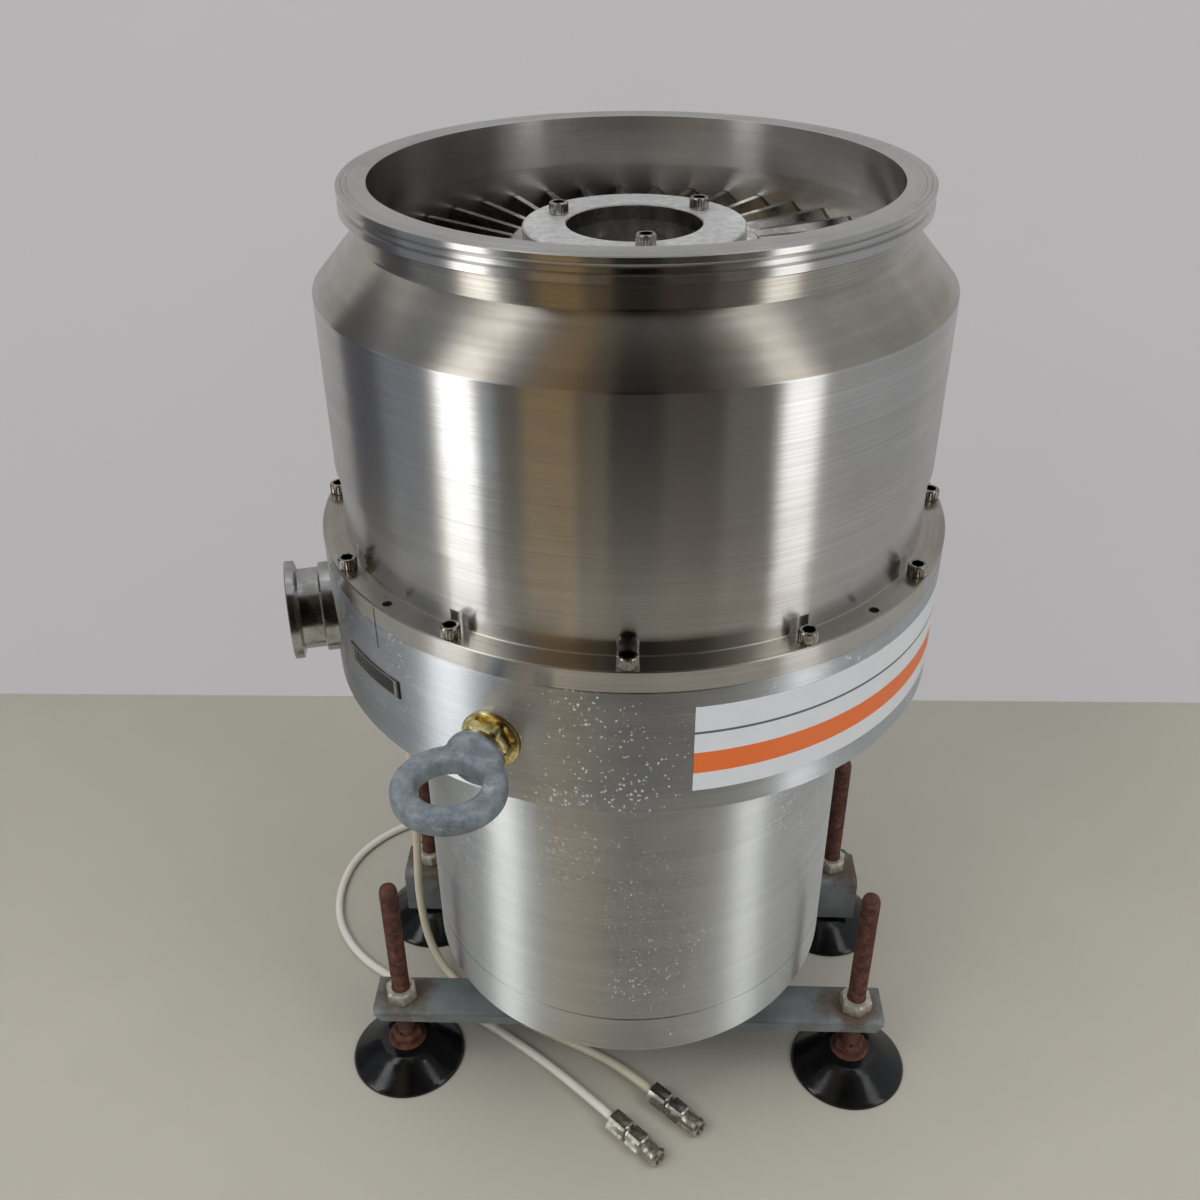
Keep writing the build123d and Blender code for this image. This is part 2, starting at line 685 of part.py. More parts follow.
def axial_housing():
    """Cup under the column that holds the two axial magnets and the lower touch-down bearing."""
    inner_end = THRUST_TOP + THRUST_T + THRUST_GAP + AXIAL_MAGNET_T
    bore_r = SHAFT_D + 2 * COLUMN_RUNNING_GAP
    collar_end = COLUMN_END + AXIAL_COLLAR_T
    return turned([
        (COLUMN_D / 2, COLUMN_END - AXIAL_WALL),
        (AXIAL_D / 2, COLUMN_END - AXIAL_WALL),
        (AXIAL_D / 2, inner_end + TOUCHDOWN_T),
        (TOUCHDOWN_D / 2, inner_end + TOUCHDOWN_T),
        (TOUCHDOWN_D / 2, inner_end),
        (AXIAL_MAGNET_D / 2, inner_end),
        (AXIAL_MAGNET_D / 2, collar_end),
        (bore_r, collar_end),
        (bore_r, COLUMN_END),
        (COLUMN_D / 2, COLUMN_END),
    ])


def axial_magnets():
    """Two ring magnets, one each side of the thrust disc."""
    upper_end = THRUST_TOP - THRUST_GAP
    lower_top = THRUST_TOP + THRUST_T + THRUST_GAP
    bore_d = THRUST_NUT_AF + 2 * AXIAL_BORE_GAP
    upper = tube(AXIAL_MAGNET_D, bore_d, upper_end - AXIAL_MAGNET_T, upper_end)
    lower = tube(AXIAL_MAGNET_D, bore_d, lower_top, lower_top + AXIAL_MAGNET_T)
    return group([upper, lower])


def thrust_disc():
    return tube(THRUST_D, THRUST_SEAT_D, THRUST_TOP, THRUST_TOP + THRUST_T)


def thrust_nut():
    top = THRUST_TOP + THRUST_T
    nut = hexagon(THRUST_NUT_AF, top, top + THRUST_NUT_T)
    return nut - disc(THRUST_SEAT_D, top - CUT_PAST, SHAFT_END)


def touchdown_bearing(top, shaft_d):
    """Ball bearing as one bought-in unit, with its race grooves in both faces."""
    bore_d = shaft_d + 2 * TOUCHDOWN_GAP
    unit = tube(TOUCHDOWN_D, bore_d, top, top + TOUCHDOWN_T)
    race_d = (TOUCHDOWN_D + bore_d) / 2
    end = top + TOUCHDOWN_T
    outer_d = race_d + TOUCHDOWN_TRACK_W
    inner_d = race_d - TOUCHDOWN_TRACK_W
    upper = tube(outer_d, inner_d, top - CUT_PAST, top + TOUCHDOWN_TRACK)
    lower = tube(outer_d, inner_d, end - TOUCHDOWN_TRACK, end + CUT_PAST)
    return unit - [upper, lower]


def touchdown_bearings():
    lower_top = THRUST_TOP + THRUST_T + THRUST_GAP + AXIAL_MAGNET_T
    return group([
        touchdown_bearing(COLUMN_TOP, SHAFT_D),
        touchdown_bearing(lower_top, THRUST_SEAT_D),
    ])


def radial_sensors():
    """Ring sensors beside each radial magnet."""
    upper_top = COLUMN_TOP + TOUCHDOWN_T
    lower_top = MAGNET_DROPS[1] + MAGNET_T + AXIAL_COLLAR_T
    return group([
        tube(SENSOR_D, SHAFT_D + 2 * SENSOR_GAP, upper_top, upper_top + SENSOR_T),
        tube(COLUMN_BORE_D, SHAFT_D + 2 * SENSOR_GAP, lower_top, lower_top + SENSOR_T),
    ])


def stator_disc(row):
    """One stator row: two half discs with blades between an outer rim and an inner ring."""
    top, height = STATOR_ROWS[row]
    rim_top = top + (height - STATOR_RIM_T) / 2
    inner_r = hub_radius(top + height) + STATOR_HUB_GAP
    ring_r = inner_r + STATOR_INNER_RING_W
    ring_top = top + (height - STATOR_INNER_RING_H) / 2
    rim = tube(CASING_BORE_D - 2 * RING_SLIP, SWEPT_D, rim_top, rim_top + STATOR_RIM_T)
    inner = tube(2 * ring_r, 2 * inner_r, ring_top, ring_top + STATOR_INNER_RING_H)
    half_space = Pos(0, CASING_BORE_D / 2 + STATOR_SPLIT / 2, -top - height / 2)
    half_space = half_space * Box(CASING_BORE_D, CASING_BORE_D, 3 * height)
    parts = []
    root_r = ring_r - STATOR_BLADE_SINK
    tip_r = SWEPT_D / 2 + STATOR_BLADE_SINK
    one = blade(root_r, tip_r, top, height, -STATOR_BLADE_DEG, STATOR_BLADE_T)
    step = 360.0 / STATOR_BLADE_COUNT
    for i in range(STATOR_BLADE_COUNT // 2):
        parts.append(Rot(0, 0, (i + 0.5) * step) * one)
    half = (rim & half_space) + [inner & half_space] + parts
    rim_end = rim_top + STATOR_RIM_T
    clear_d = SWEPT_D - 2 * STATOR_TIP_TRIM
    half = half - [
        tube(CASING_BORE_D, clear_d, top - CUT_PAST, rim_top),
        tube(CASING_BORE_D, clear_d, rim_end, top + height + CUT_PAST),
    ]
    return group([half, Rot(0, 0, 180) * half])


def spacer(top, end):
    return tube(CASING_BORE_D - 2 * RING_SLIP, SWEPT_D, top, end)


def rim_top_of(row):
    top, height = STATOR_ROWS[row]
    return top + (height - STATOR_RIM_T) / 2


def spacer_rings():
    """Rings that set the stator rims apart and centre them in the casing."""
    rings = []
    for row in range(len(STATOR_ROWS) - 1):
        rings.append(spacer(rim_top_of(row) + STATOR_RIM_T, rim_top_of(row + 1)))
    return group(rings)


def top_spacer_ring():
    return spacer(CASING_SHOULDER, rim_top_of(0))


def bottom_spacer_ring():
    return spacer(rim_top_of(len(STATOR_ROWS) - 1) + STATOR_RIM_T, FLANGE_END)


def at_eye(shape):
    """Place a shape made along +Z so that +Z runs out of the housing at the lifting eye."""
    return Rot(0, 0, EYE_DEG) * Pos(0, 0, -PORT_DROP) * Rot(0, 90, 0) * shape


def lifting_eye():
    """Forged eye bolt: ring lying level, collar, and shank in the housing wall."""
    seat = FLANGE_D / 2 + EYE_SEAT
    mean_r = (EYE_RING_D + EYE_HOLE_D) / 4
    ring = Pos(0, 0, seat + EYE_CENTRE) * Rot(0, 90, 0) * Torus(mean_r, EYE_SECTION / 2)
    collar = disc(EYE_COLLAR_D, -seat - EYE_COLLAR_T, -seat)
    neck_end = -seat - EYE_CENTRE + EYE_RING_D / 2 - EYE_SECTION + EYE_NECK_SINK
    neck = turned([
        (0, -seat - EYE_COLLAR_T),
        (EYE_COLLAR_D / 2 - EYE_NECK_INSET, -seat - EYE_COLLAR_T),
        (EYE_SECTION / 2 + EYE_NECK_OVER, neck_end),
        (0, neck_end),
    ])
    shank = disc(EYE_SHANK_D, -seat, EYE_SHANK_LEN - seat)
    return at_eye(ring + [collar, neck, shank])


def eye_washers():
    """Hexagon nut and two washers between the eye and the housing."""
    wall = FLANGE_D / 2
    washer_t = (EYE_SEAT - EYE_NUT_T) / 2
    bore = disc(EYE_SHANK_D, -wall - EYE_SEAT - CUT_PAST, -wall + EYE_SEAT)
    round_wall = Pos(0, 0, -PORT_DROP) * Cylinder(wall, 3 * EYE_WASHER_D)
    inner = at_eye(disc(EYE_WASHER_D, -wall - washer_t, -wall + washer_t) - bore) - round_wall
    nut = at_eye(hexagon(EYE_NUT_AF, -wall - washer_t - EYE_NUT_T, -wall - washer_t) - bore)
    outer = disc(EYE_OUTER_WASHER_D, -wall - EYE_SEAT, -wall - washer_t - EYE_NUT_T)
    return group([inner, nut, at_eye(outer - bore)])


def curved_plate(from_deg, to_deg, top, height, thickness):
    """Thin plate that wraps the housing wall on its film of adhesive."""
    inner_r = FLANGE_D / 2 + ADHESIVE_T
    outline = Polyline(
        (inner_r, 0, -top),
        (inner_r + thickness, 0, -top),
        (inner_r + thickness, 0, -top - height),
        (inner_r, 0, -top - height),
        close=True,
    )
    wrap = revolve(make_face(outline), Axis.Z, revolution_arc=to_deg - from_deg)
    return Rot(0, 0, from_deg) * wrap


def label_plate():
    return curved_plate(LABEL_FROM_DEG, LABEL_TO_DEG, LABEL_TOP, LABEL_H, LABEL_T)


def rating_plate():
    return curved_plate(PLATE_FROM_DEG, PLATE_TO_DEG, PLATE_TOP, PLATE_H, PLATE_T)


def at_socket(shape):
    return Rot(0, 0, SOCKET_DEG) * Pos(0, 0, -SOCKET_DROP) * Rot(0, 90, 0) * shape


def power_socket():
    """Round multi-pin socket on a square flange, let into the back of the barrel."""
    wall = BARREL_D / 2
    end = wall + SOCKET_LEN
    flange = Pos(0, 0, wall) * Box(SOCKET_FLANGE, SOCKET_FLANGE, 2 * SOCKET_FLANGE_T)
    shell = disc(SOCKET_D, -end, -wall)
    well = disc(SOCKET_D - 2 * SOCKET_WALL, -end - CUT_PAST, -wall - SOCKET_FLANGE_T)
    pins = [
        place * disc(PIN_D, PIN_SET_BACK - end, -wall)
        for place in around(PIN_COUNT, PIN_PCD / 2)
    ]
    body = (flange + shell - well) + pins
    return at_socket(body) - Pos(0, 0, -SOCKET_DROP) * Cylinder(wall, 4 * SOCKET_D)


def cooling_fitting():
    """Compression fitting screwed up into the base, hose end down."""
    body_end = BASE_END + FITTING_BODY_T
    thread = disc(FITTING_THREAD_D, BASE_END - FITTING_THREAD_LEN, BASE_END)
    body = hexagon(FITTING_BODY_AF, BASE_END, body_end - FITTING_NECK_T)
    neck = disc(FITTING_NECK_D, body_end - FITTING_NECK_T, body_end)
    nut = hexagon(FITTING_NUT_AF, body_end, body_end + FITTING_NUT_T)
    return thread + [body, neck, nut]


def cooling_fittings():
    places = [Rot(0, 0, degrees) * Pos(FITTING_R, 0, 0) for degrees in FITTING_DEGS]
    return group([place * cooling_fitting() for place in places])


def below_fitting(index, hose_drop):
    """Point on the axis of a pump fitting, a length of hose below its mouth."""
    angle = math.radians(FITTING_DEGS[index])
    drop = BASE_END + FITTING_BODY_T + FITTING_NUT_T + hose_drop
    return (FITTING_R * math.cos(angle), FITTING_R * math.sin(angle), -drop)


# Hose routes from the pump fitting to the loose end: down, a turn onto the floor, along it.
HOSE_B_ROUTE = [
    below_fitting(0, 0.0),
    below_fitting(0, HOSE_B_STRAIGHT),
    (-151.0, 28.0, -420.0),
    (-153.5, 28.0, -475.0),
    (-155.5, 22.0, -525.0),
    (-148.0, 9.0, -565.0),
    (-127.0, -9.0, HOSE_FLOOR),
    (-95.0, -31.0, HOSE_FLOOR),
    (-60.0, -49.0, HOSE_FLOOR),
    (-27.0, -64.0, HOSE_FLOOR),
    (-3.0, -81.0, HOSE_END),
    (17.5, -98.8, HOSE_END),
]
HOSE_A_ROUTE = [
    below_fitting(1, 0.0),
    below_fitting(1, HOSE_A_STRAIGHT),
    (-42.0, 149.5, -410.0),
    (-49.0, 156.0, -470.0),
    (-63.0, 165.0, -525.0),
    (-90.0, 174.0, -566.0),
    (-128.0, 177.0, HOSE_FLOOR),
    (-166.0, 172.0, HOSE_FLOOR),
    (-203.0, 155.0, HOSE_FLOOR),
    (-229.0, 122.0, HOSE_FLOOR),
    (-235.0, 82.0, HOSE_FLOOR),
    (-226.0, 43.0, HOSE_FLOOR),
    (-199.0, 9.0, HOSE_FLOOR),
    (-157.0, -15.0, HOSE_FLOOR),
    (-112.0, -36.0, HOSE_FLOOR),
    (-76.0, -60.0, HOSE_FLOOR),
    (-41.0, -90.0, HOSE_END),
    (-8.4, -119.9, HOSE_END),
]


def corner_radii(route):
    """Each arc takes the same share of its shorter run."""
    radii = []
    for before, corner, after in zip(route, route[1:], route[2:]):
        run_in = Vector(*corner) - Vector(*before)
        run_out = Vector(*after) - Vector(*corner)
        turn = math.radians(run_in.get_angle(run_out))
        radii.append(ARC_SHARE * min(run_in.length, run_out.length) / math.tan(turn / 2))
    return radii


def hose(name, route):
    """Round hose along straight runs joined by tangent arcs."""
    radii = corner_radii(route)
    path = FilletPolyline(*route, radius=radii)
    start = Plane(path @ 0, z_dir=path % 0)
    body = sweep(start * Circle(HOSE_D / 2), path=path)
    ideal = math.pi * HOSE_D ** 2 / 4 * path.length
    print(name, "radii", [round(r) for r in radii])
    print(name, "length", round(path.length, 1), "volume ratio", round(body.volume / ideal, 5))
    return body


def end_fitting(route):
    """Loose compression fitting on a hose end: nut, hexagon body and threaded end."""
    ahead = Vector(*route[-1]) - Vector(*route[-2])
    nut_end = -END_NUT_T
    neck_end = nut_end - END_NECK_LEN
    body_end = neck_end - END_BODY_T
    nut = hexagon(END_NUT_AF, nut_end, 0)
    neck = disc(END_NECK_D, neck_end, nut_end)
    body = hexagon(END_BODY_AF, body_end, neck_end)
    thread = disc(END_THREAD_D, -END_FITTING_LEN, body_end)
    bore = disc(END_BORE_D, -END_FITTING_LEN - CUT_PAST, -END_FITTING_LEN + END_BORE_LEN)
    shape = nut + [neck, body, thread] - bore
    along = Plane(origin=route[-1], x_dir=(0, 0, 1), z_dir=ahead)
    return along * Rot(0, 0, 30) * shape


def bar(side):
    """Steel angle: a flat leg on top and a leg that hangs at the inner edge."""
    outer = BAR_INNER + BAR_TOP_W
    middle_y = side * (BAR_INNER + outer) / 2
    flat = Pos(0, middle_y, -BAR_TOP - BAR_T / 2) * Box(BAR_LEN, BAR_TOP_W, BAR_T)
    outer_edge = flat.edges().filter_by(Axis.Z).sort_by(Axis.Y)
    outer_edge = outer_edge[-2:] if side > 0 else outer_edge[:2]
    flat = fillet(outer_edge, BAR_CORNER_R)
    drop_leg = Pos(0, side * (BAR_INNER + BAR_T / 2), -BAR_TOP - BAR_DROP_H / 2)
    angle = flat + drop_leg * Box(BAR_LEN, BAR_T, BAR_DROP_H)
    cuts = []
    for x, hole_d in ((FOOT_X, ROD_HOLE_D), (BAR_BOLT_X, M8_D)):
        hole = disc(hole_d, BAR_TOP - CUT_PAST, BAR_UNDER + CUT_PAST)
        cuts += [Pos(x, side * FOOT_Y, 0) * hole, Pos(-x, side * FOOT_Y, 0) * hole]
    return angle - cuts


def bar_bolt_places():
    return [Pos(x, y, 0) for x in (-BAR_BOLT_X, BAR_BOLT_X) for y in (-FOOT_Y, FOOT_Y)]


def bar_bolts():
    bolt = Pos(0, 0, -BAR_UNDER) * Rot(180, 0, 0) * m8_screw(BAR_BOLT_LEN)
    return group([place * bolt for place in bar_bolt_places()])


def foot_places():
    """Front left, front right, rear left, rear right."""
    return [Pos(x, y, 0) for y in (-FOOT_Y, FOOT_Y) for x in (-FOOT_X, FOOT_X)]


def jam_nuts():
    nut_top = BAR_TOP - JAM_NUT_T
    hole = disc(ROD_HOLE_D, nut_top - CUT_PAST, BAR_TOP + CUT_PAST)
    nut = hexagon(JAM_NUT_AF, nut_top, BAR_TOP) - hole
    return group([place * nut for place in foot_places()])


def foot_rod(place):
    """Threaded rod with the hexagon that rests on the washer and a tip that sits in the pad."""
    pad_top = FLOOR_DROP - PAD_H
    hex_end = pad_top - WASHER_T
    rod_top = BAR_TOP - JAM_NUT_T - ROD_ABOVE_NUT
    rod = disc(ROD_D, rod_top, pad_top + PAD_SOCKET_DEPTH)
    rod = chamfer(rod.edges().sort_by(Axis.Z)[-1], ROD_TIP_BEVEL)
    return place * (rod + hexagon(FOOT_HEX_AF, hex_end - FOOT_HEX_T, hex_end))


def foot_washer(place):
    pad_top = FLOOR_DROP - PAD_H
    return place * tube(WASHER_D, ROD_D, pad_top - WASHER_T, pad_top)


def foot_pad(place):
    """Moulded pad: a flat lip on the floor, a conical flank and a level top round the rod."""
    pad_top = FLOOR_DROP - PAD_H
    pad = turned([
        (0, pad_top + PAD_SOCKET_DEPTH),
        (ROD_D / 2, pad_top + PAD_SOCKET_DEPTH),
        (ROD_D / 2, pad_top),
        (PAD_TOP_D / 2, pad_top),
        (PAD_TOP_D / 2 + PAD_ROUND_W, pad_top + PAD_ROUND_H),
        (PAD_D / 2, FLOOR_DROP - PAD_LIP_H),
        (PAD_D / 2, FLOOR_DROP),
        (0, FLOOR_DROP),
    ])
    return place * pad


def build():
    os.makedirs("parts", exist_ok=True)
    nodes = {
        "inlet_body": inlet_body(),
        "body_screws": body_screws(),
        "body_seal": body_seal(),
        "base_housing": base_housing(),
        "exhaust_port": exhaust_port(),
        "motor_housing": motor_housing(),
        "barrel_seal": barrel_seal(),
        "closure_ring": closure_ring(),
        "bottom_cover": bottom_cover(),
        "base_screws": base_screws(),
        "rotor": rotor(),
        "hub_ring": hub_ring(),
        "hub_ring_screws": hub_ring_screws(),
        "rotor_bolts": rotor_bolts(),
        "rotor_shaft": rotor_shaft(),
        "radial_magnet_rotors": radial_magnet_rotors(),
        "radial_magnet_stators": radial_magnet_stators(),
        "motor_stator": motor_stator(),
        "motor_rotor": motor_rotor(),
        "bearing_column": bearing_column(),
        "axial_housing": axial_housing(),
        "axial_magnets": axial_magnets(),
        "thrust_disc": thrust_disc(),
        "thrust_nut": thrust_nut(),
        "touchdown_bearings": touchdown_bearings(),
        "radial_sensors": radial_sensors(),
        "top_spacer_ring": top_spacer_ring(),
        "spacer_rings": spacer_rings(),
        "bottom_spacer_ring": bottom_spacer_ring(),
        "lifting_eye": lifting_eye(),
        "eye_washers": eye_washers(),
        "label_plate": label_plate(),
        "rating_plate": rating_plate(),
        "power_socket": power_socket(),
        "cooling_fittings": cooling_fittings(),
        "hose_a": hose("hose_a", HOSE_A_ROUTE),
        "hose_b": hose("hose_b", HOSE_B_ROUTE),
        "hose_a_fitting": end_fitting(HOSE_A_ROUTE),
        "hose_b_fitting": end_fitting(HOSE_B_ROUTE),
        "front_bar": bar(-1),
        "rear_bar": bar(1),
        "bar_bolts": bar_bolts(),
        "jam_nuts": jam_nuts(),
    }
    for row in range(len(STATOR_ROWS)):
        nodes["stator_disc_%d" % (row + 1)] = stator_disc(row)
    for number, place in enumerate(foot_places(), 1):
        nodes["foot_rod_%d" % number] = foot_rod(place)
        nodes["foot_washer_%d" % number] = foot_washer(place)
        nodes["foot_pad_%d" % number] = foot_pad(place)
    for name, shape in nodes.items():
        export_step(shape, "parts/%s.step" % name)


build()
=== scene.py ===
import json
import math

import bmesh
import bpy
from mathutils import Matrix, Vector


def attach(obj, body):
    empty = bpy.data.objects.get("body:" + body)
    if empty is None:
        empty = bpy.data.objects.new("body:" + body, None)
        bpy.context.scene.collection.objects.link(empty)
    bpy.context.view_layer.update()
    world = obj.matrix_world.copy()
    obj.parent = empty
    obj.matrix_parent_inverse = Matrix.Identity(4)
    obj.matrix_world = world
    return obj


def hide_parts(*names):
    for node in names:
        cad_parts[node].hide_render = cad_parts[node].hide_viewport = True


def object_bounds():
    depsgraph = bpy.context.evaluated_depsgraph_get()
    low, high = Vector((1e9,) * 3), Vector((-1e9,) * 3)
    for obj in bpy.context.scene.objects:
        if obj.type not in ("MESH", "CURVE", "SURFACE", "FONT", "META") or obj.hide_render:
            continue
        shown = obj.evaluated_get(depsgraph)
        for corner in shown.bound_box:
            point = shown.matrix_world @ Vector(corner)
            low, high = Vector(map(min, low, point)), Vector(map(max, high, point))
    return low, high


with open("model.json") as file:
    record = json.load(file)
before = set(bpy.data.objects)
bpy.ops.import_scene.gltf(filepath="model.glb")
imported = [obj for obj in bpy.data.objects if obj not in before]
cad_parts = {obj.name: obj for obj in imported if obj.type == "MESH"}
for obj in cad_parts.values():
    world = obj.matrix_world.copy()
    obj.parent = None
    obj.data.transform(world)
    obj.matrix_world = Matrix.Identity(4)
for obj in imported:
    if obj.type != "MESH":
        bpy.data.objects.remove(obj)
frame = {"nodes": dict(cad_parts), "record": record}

bl_info = {
    "name": "Turbomolecular Pump",
    "version": (1, 0, 0),
    "blender": (4, 5, 0),
    "location": "3D View > Sidebar > Pump",
    "description": "Dresses the solid model of a turbomolecular pump on its levelling stand",
    "category": "Object",
}

MM = 0.001
CAD_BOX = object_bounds()
RING_POINTS = 48                # points of each loop in a stacked piece
KNURL_DEPTH = 0.3               # mm
PORT_AT, EYE_AT = 195, -112     # degrees round the pump
WALL_MIDDLE = -227.5            # height of the port and the eye, mm
SCREW_CIRCLE_R = 167.5          # mm
FLANGE_TOP = -179.2             # mm
ROD_X, ROD_Y = 0.153, 0.066     # levelling rods from the axis, m
BAR_TOP = -529                  # mm
ANGLE_END, ANGLE_EDGE = 0.171, 0.0825   # half length and outer edge of the angle bars, m


# ---- sizes and colours that a user may change ----

class PumpSizes(bpy.types.PropertyGroup):
    turn_steps: bpy.props.IntProperty(
        name="Turning steps", description="Faces round each large turned part", default=240, min=48)
    thread_pitch: bpy.props.FloatProperty(
        name="Rod pitch", description="Thread pitch of the levelling rods, in mm", default=1.75, min=0.5)
    hose_d: bpy.props.FloatProperty(
        name="Hose diameter", description="Outside diameter of the cooling hoses", default=0.006,
        unit="LENGTH", subtype="DISTANCE")
    eye_voxel: bpy.props.FloatProperty(
        name="Eye blend size", description="Voxel size that blends the forged eye", default=0.0008,
        unit="LENGTH", subtype="DISTANCE")


class PumpColours(bpy.types.PropertyGroup):
    stainless: bpy.props.StringProperty(
        name="Stainless steel", description="Turned stainless casing, sRGB hex", default="#d3d2d0")
    aluminium: bpy.props.StringProperty(
        name="Aluminium", description="Turned aluminium housings, sRGB hex", default="#dfe2e5")
    hose_new: bpy.props.StringProperty(
        name="Hose", description="Milky polyamide hose, sRGB hex", default="#e2e0d6")
    hose_old: bpy.props.StringProperty(
        name="Aged hose", description="Yellowed polyamide hose, sRGB hex", default="#dcd5c2")
    bar_paint: bpy.props.StringProperty(
        name="Bar paint", description="Grey-blue paint of the stand, sRGB hex", default="#737978")
    floor: bpy.props.StringProperty(
        name="Floor", description="Floor covering, sRGB hex", default="#b5b1a5")
    wall: bpy.props.StringProperty(
        name="Wall", description="Plain wall behind, sRGB hex", default="#cfcecf")


# ---- materials ----

def linear(code):
    """Linear RGBA from an sRGB hex colour."""
    parts = [int(code[i:i + 2], 16) / 255 for i in (1, 3, 5)]
    return (*[c / 12.92 if c <= 0.04045 else ((c + 0.055) / 1.055) ** 2.4 for c in parts], 1.0)


def add(tree, kind, inputs=(), **settings):
    """Adds a shader node of a kind: settings go on the node, and inputs set or link its sockets.
    A node given as an input links by its first output."""
    made = tree.nodes.new("ShaderNode" + kind)
    for key, value in settings.items():
        setattr(made, key, value)
    for key, value in dict(inputs).items():
        if isinstance(value, bpy.types.Node):
            value = value.outputs[0]
        if isinstance(value, bpy.types.NodeSocket):
            tree.links.new(value, made.inputs[key])
        else:
            made.inputs[key].default_value = value
    return made


def blank(name):
    """A new material with an empty tree, its output and its object coordinates."""
    material = bpy.data.materials.new(name)
    material.use_nodes = True
    tree = material.node_tree
    tree.nodes.clear()
    output = add(tree, "OutputMaterial")
    place = add(tree, "TexCoord").outputs["Object"]
    return material, tree, output, place


def close(tree, output, shader):
    """Links the finished shader to the output."""
    tree.links.new(shader.outputs[0], output.inputs["Surface"])


def surface(tree, relief, strength, depth, **sockets):
    """Principled shader whose bump comes from a relief pattern, depth metres deep at full strength."""
    bump = add(tree, "Bump", {"Height": relief, "Strength": strength, "Distance": depth})
    return add(tree, "BsdfPrincipled", {
        **{key.replace("_", " "): value for key, value in sockets.items()}, "Normal": bump.outputs[0]})


def lathe_vector(tree, place, round_scale, line_mm):
    """Coordinates in which a noise becomes lines round the Z axis, one noise cell to each line_mm."""
    parts = add(tree, "SeparateXYZ", {0: place})
    flat = add(tree, "CombineXYZ", {0: parts.outputs[0], 1: parts.outputs[1]})
    radius = add(tree, "VectorMath", {0: flat}, operation="LENGTH").outputs["Value"]
    aim = add(tree, "VectorMath", {0: flat}, operation="NORMALIZE")
    aim = add(tree, "VectorMath", {0: aim, "Scale": round_scale}, operation="SCALE")
    along = add(tree, "Math", {0: radius, 1: parts.outputs[2]}, operation="ADD")
    along = add(tree, "Math", {0: along, 1: 1 / (line_mm * MM)}, operation="MULTIPLY")
    along = add(tree, "CombineXYZ", {2: along})
    return add(tree, "VectorMath", {0: aim, 1: along}, operation="ADD")


def turned_metal(name, colour, shade, roughness, spread, anisotropy, line_mm, line_depth,
                 cloud=0.5, specks=0.0, speck_colour="#f2f4f5"):
    """Turned metal: fine lines round the axis from the tool's feed, with handling marks over them.
    The lathe lines stretch each reflection along the axis, so the finish shows tall soft streaks."""
    material, tree, output, place = blank(name)
    fine = add(tree, "TexNoise", {
        "Vector": lathe_vector(tree, place, 1.1, line_mm), "Scale": 1.0, "Detail": 3.0, "Roughness": 0.6})
    bands = add(tree, "TexNoise", {
        "Vector": lathe_vector(tree, place, 0.7, 9.0), "Scale": 1.0, "Detail": 3.0})
    # handling and wiping marks are 30 to 80 mm across
    marks = add(tree, "TexNoise", {
        "Vector": place, "Scale": 17.0, "Detail": 4.0, "Roughness": 0.6, "Distortion": 0.4})
    lines = add(tree, "MapRange", {
        "Value": fine, "From Min": 0.3, "From Max": 0.7, "To Min": -0.5, "To Max": 0.5})
    tone = add(tree, "MapRange", {
        "Value": bands, "From Min": 0.3, "From Max": 0.7, "To Min": 0.12, "To Max": 0.42})
    tone = add(tree, "Math", {0: lines, 1: 0.5, 2: tone}, operation="MULTIPLY_ADD")
    soil = add(tree, "MapRange", {
        "Value": marks, "From Min": 0.45, "From Max": 0.72, "To Min": 0.0, "To Max": cloud})
    tone = add(tree, "Math", {0: tone, 1: soil}, operation="ADD", use_clamp=True)
    colour_out = add(tree, "Mix", {
        "Factor": tone, 6: linear(colour), 7: linear(shade)}, data_type="RGBA").outputs[2]
    rough = add(tree, "Math", {0: tone, 1: spread, 2: roughness}, operation="MULTIPLY_ADD")
    metal = 1.0
    if specks:
        # chips and dried splashes, 0.5 to 2.5 mm, in loose patches
        ragged = add(tree, "TexNoise", {"Vector": place, "Scale": 900.0, "Detail": 2.0}).outputs[1]
        ragged = add(tree, "VectorMath", {0: ragged, 1: (0.0022, 0.0022, 0.0022), 2: place},
                     operation="MULTIPLY_ADD")
        grains = add(tree, "TexVoronoi", {
            "Vector": ragged, "Scale": 560.0, "Randomness": 1.0}, feature="F1")
        sizes = add(tree, "SeparateColor", {0: grains.outputs["Color"]})
        patch = add(tree, "TexNoise", {"Vector": place, "Scale": 14.0, "Detail": 4.0, "Roughness": 0.6})
        patch = add(tree, "MapRange", {
            "Value": patch, "From Min": 0.36, "From Max": 0.62, "To Min": 0.16, "To Max": 0.58})
        reach = add(tree, "Math", {0: sizes, 1: 2.6}, operation="POWER")
        reach = add(tree, "Math", {0: reach, 1: patch}, operation="MULTIPLY")
        spot = add(tree, "Math", {0: reach, 1: grains.outputs["Distance"]}, operation="SUBTRACT")
        spot = add(tree, "MapRange", {
            "Value": spot, "From Min": 0.0, "From Max": 0.08, "To Min": 0.0, "To Max": specks})
        colour_out = add(tree, "Mix", {
            "Factor": spot, 6: colour_out, 7: linear(speck_colour)}, data_type="RGBA").outputs[2]
        metal = add(tree, "Math", {0: 1.0, 1: spot}, operation="SUBTRACT")
    tangent = add(tree, "Tangent", direction_type="RADIAL", axis="Z")
    close(tree, output, surface(
        tree, lines, line_depth, 0.00004, Base_Color=colour_out, Metallic=metal, Roughness=rough,
        Anisotropic=anisotropy, Anisotropic_Rotation=0.25, Tangent=tangent))
    return material


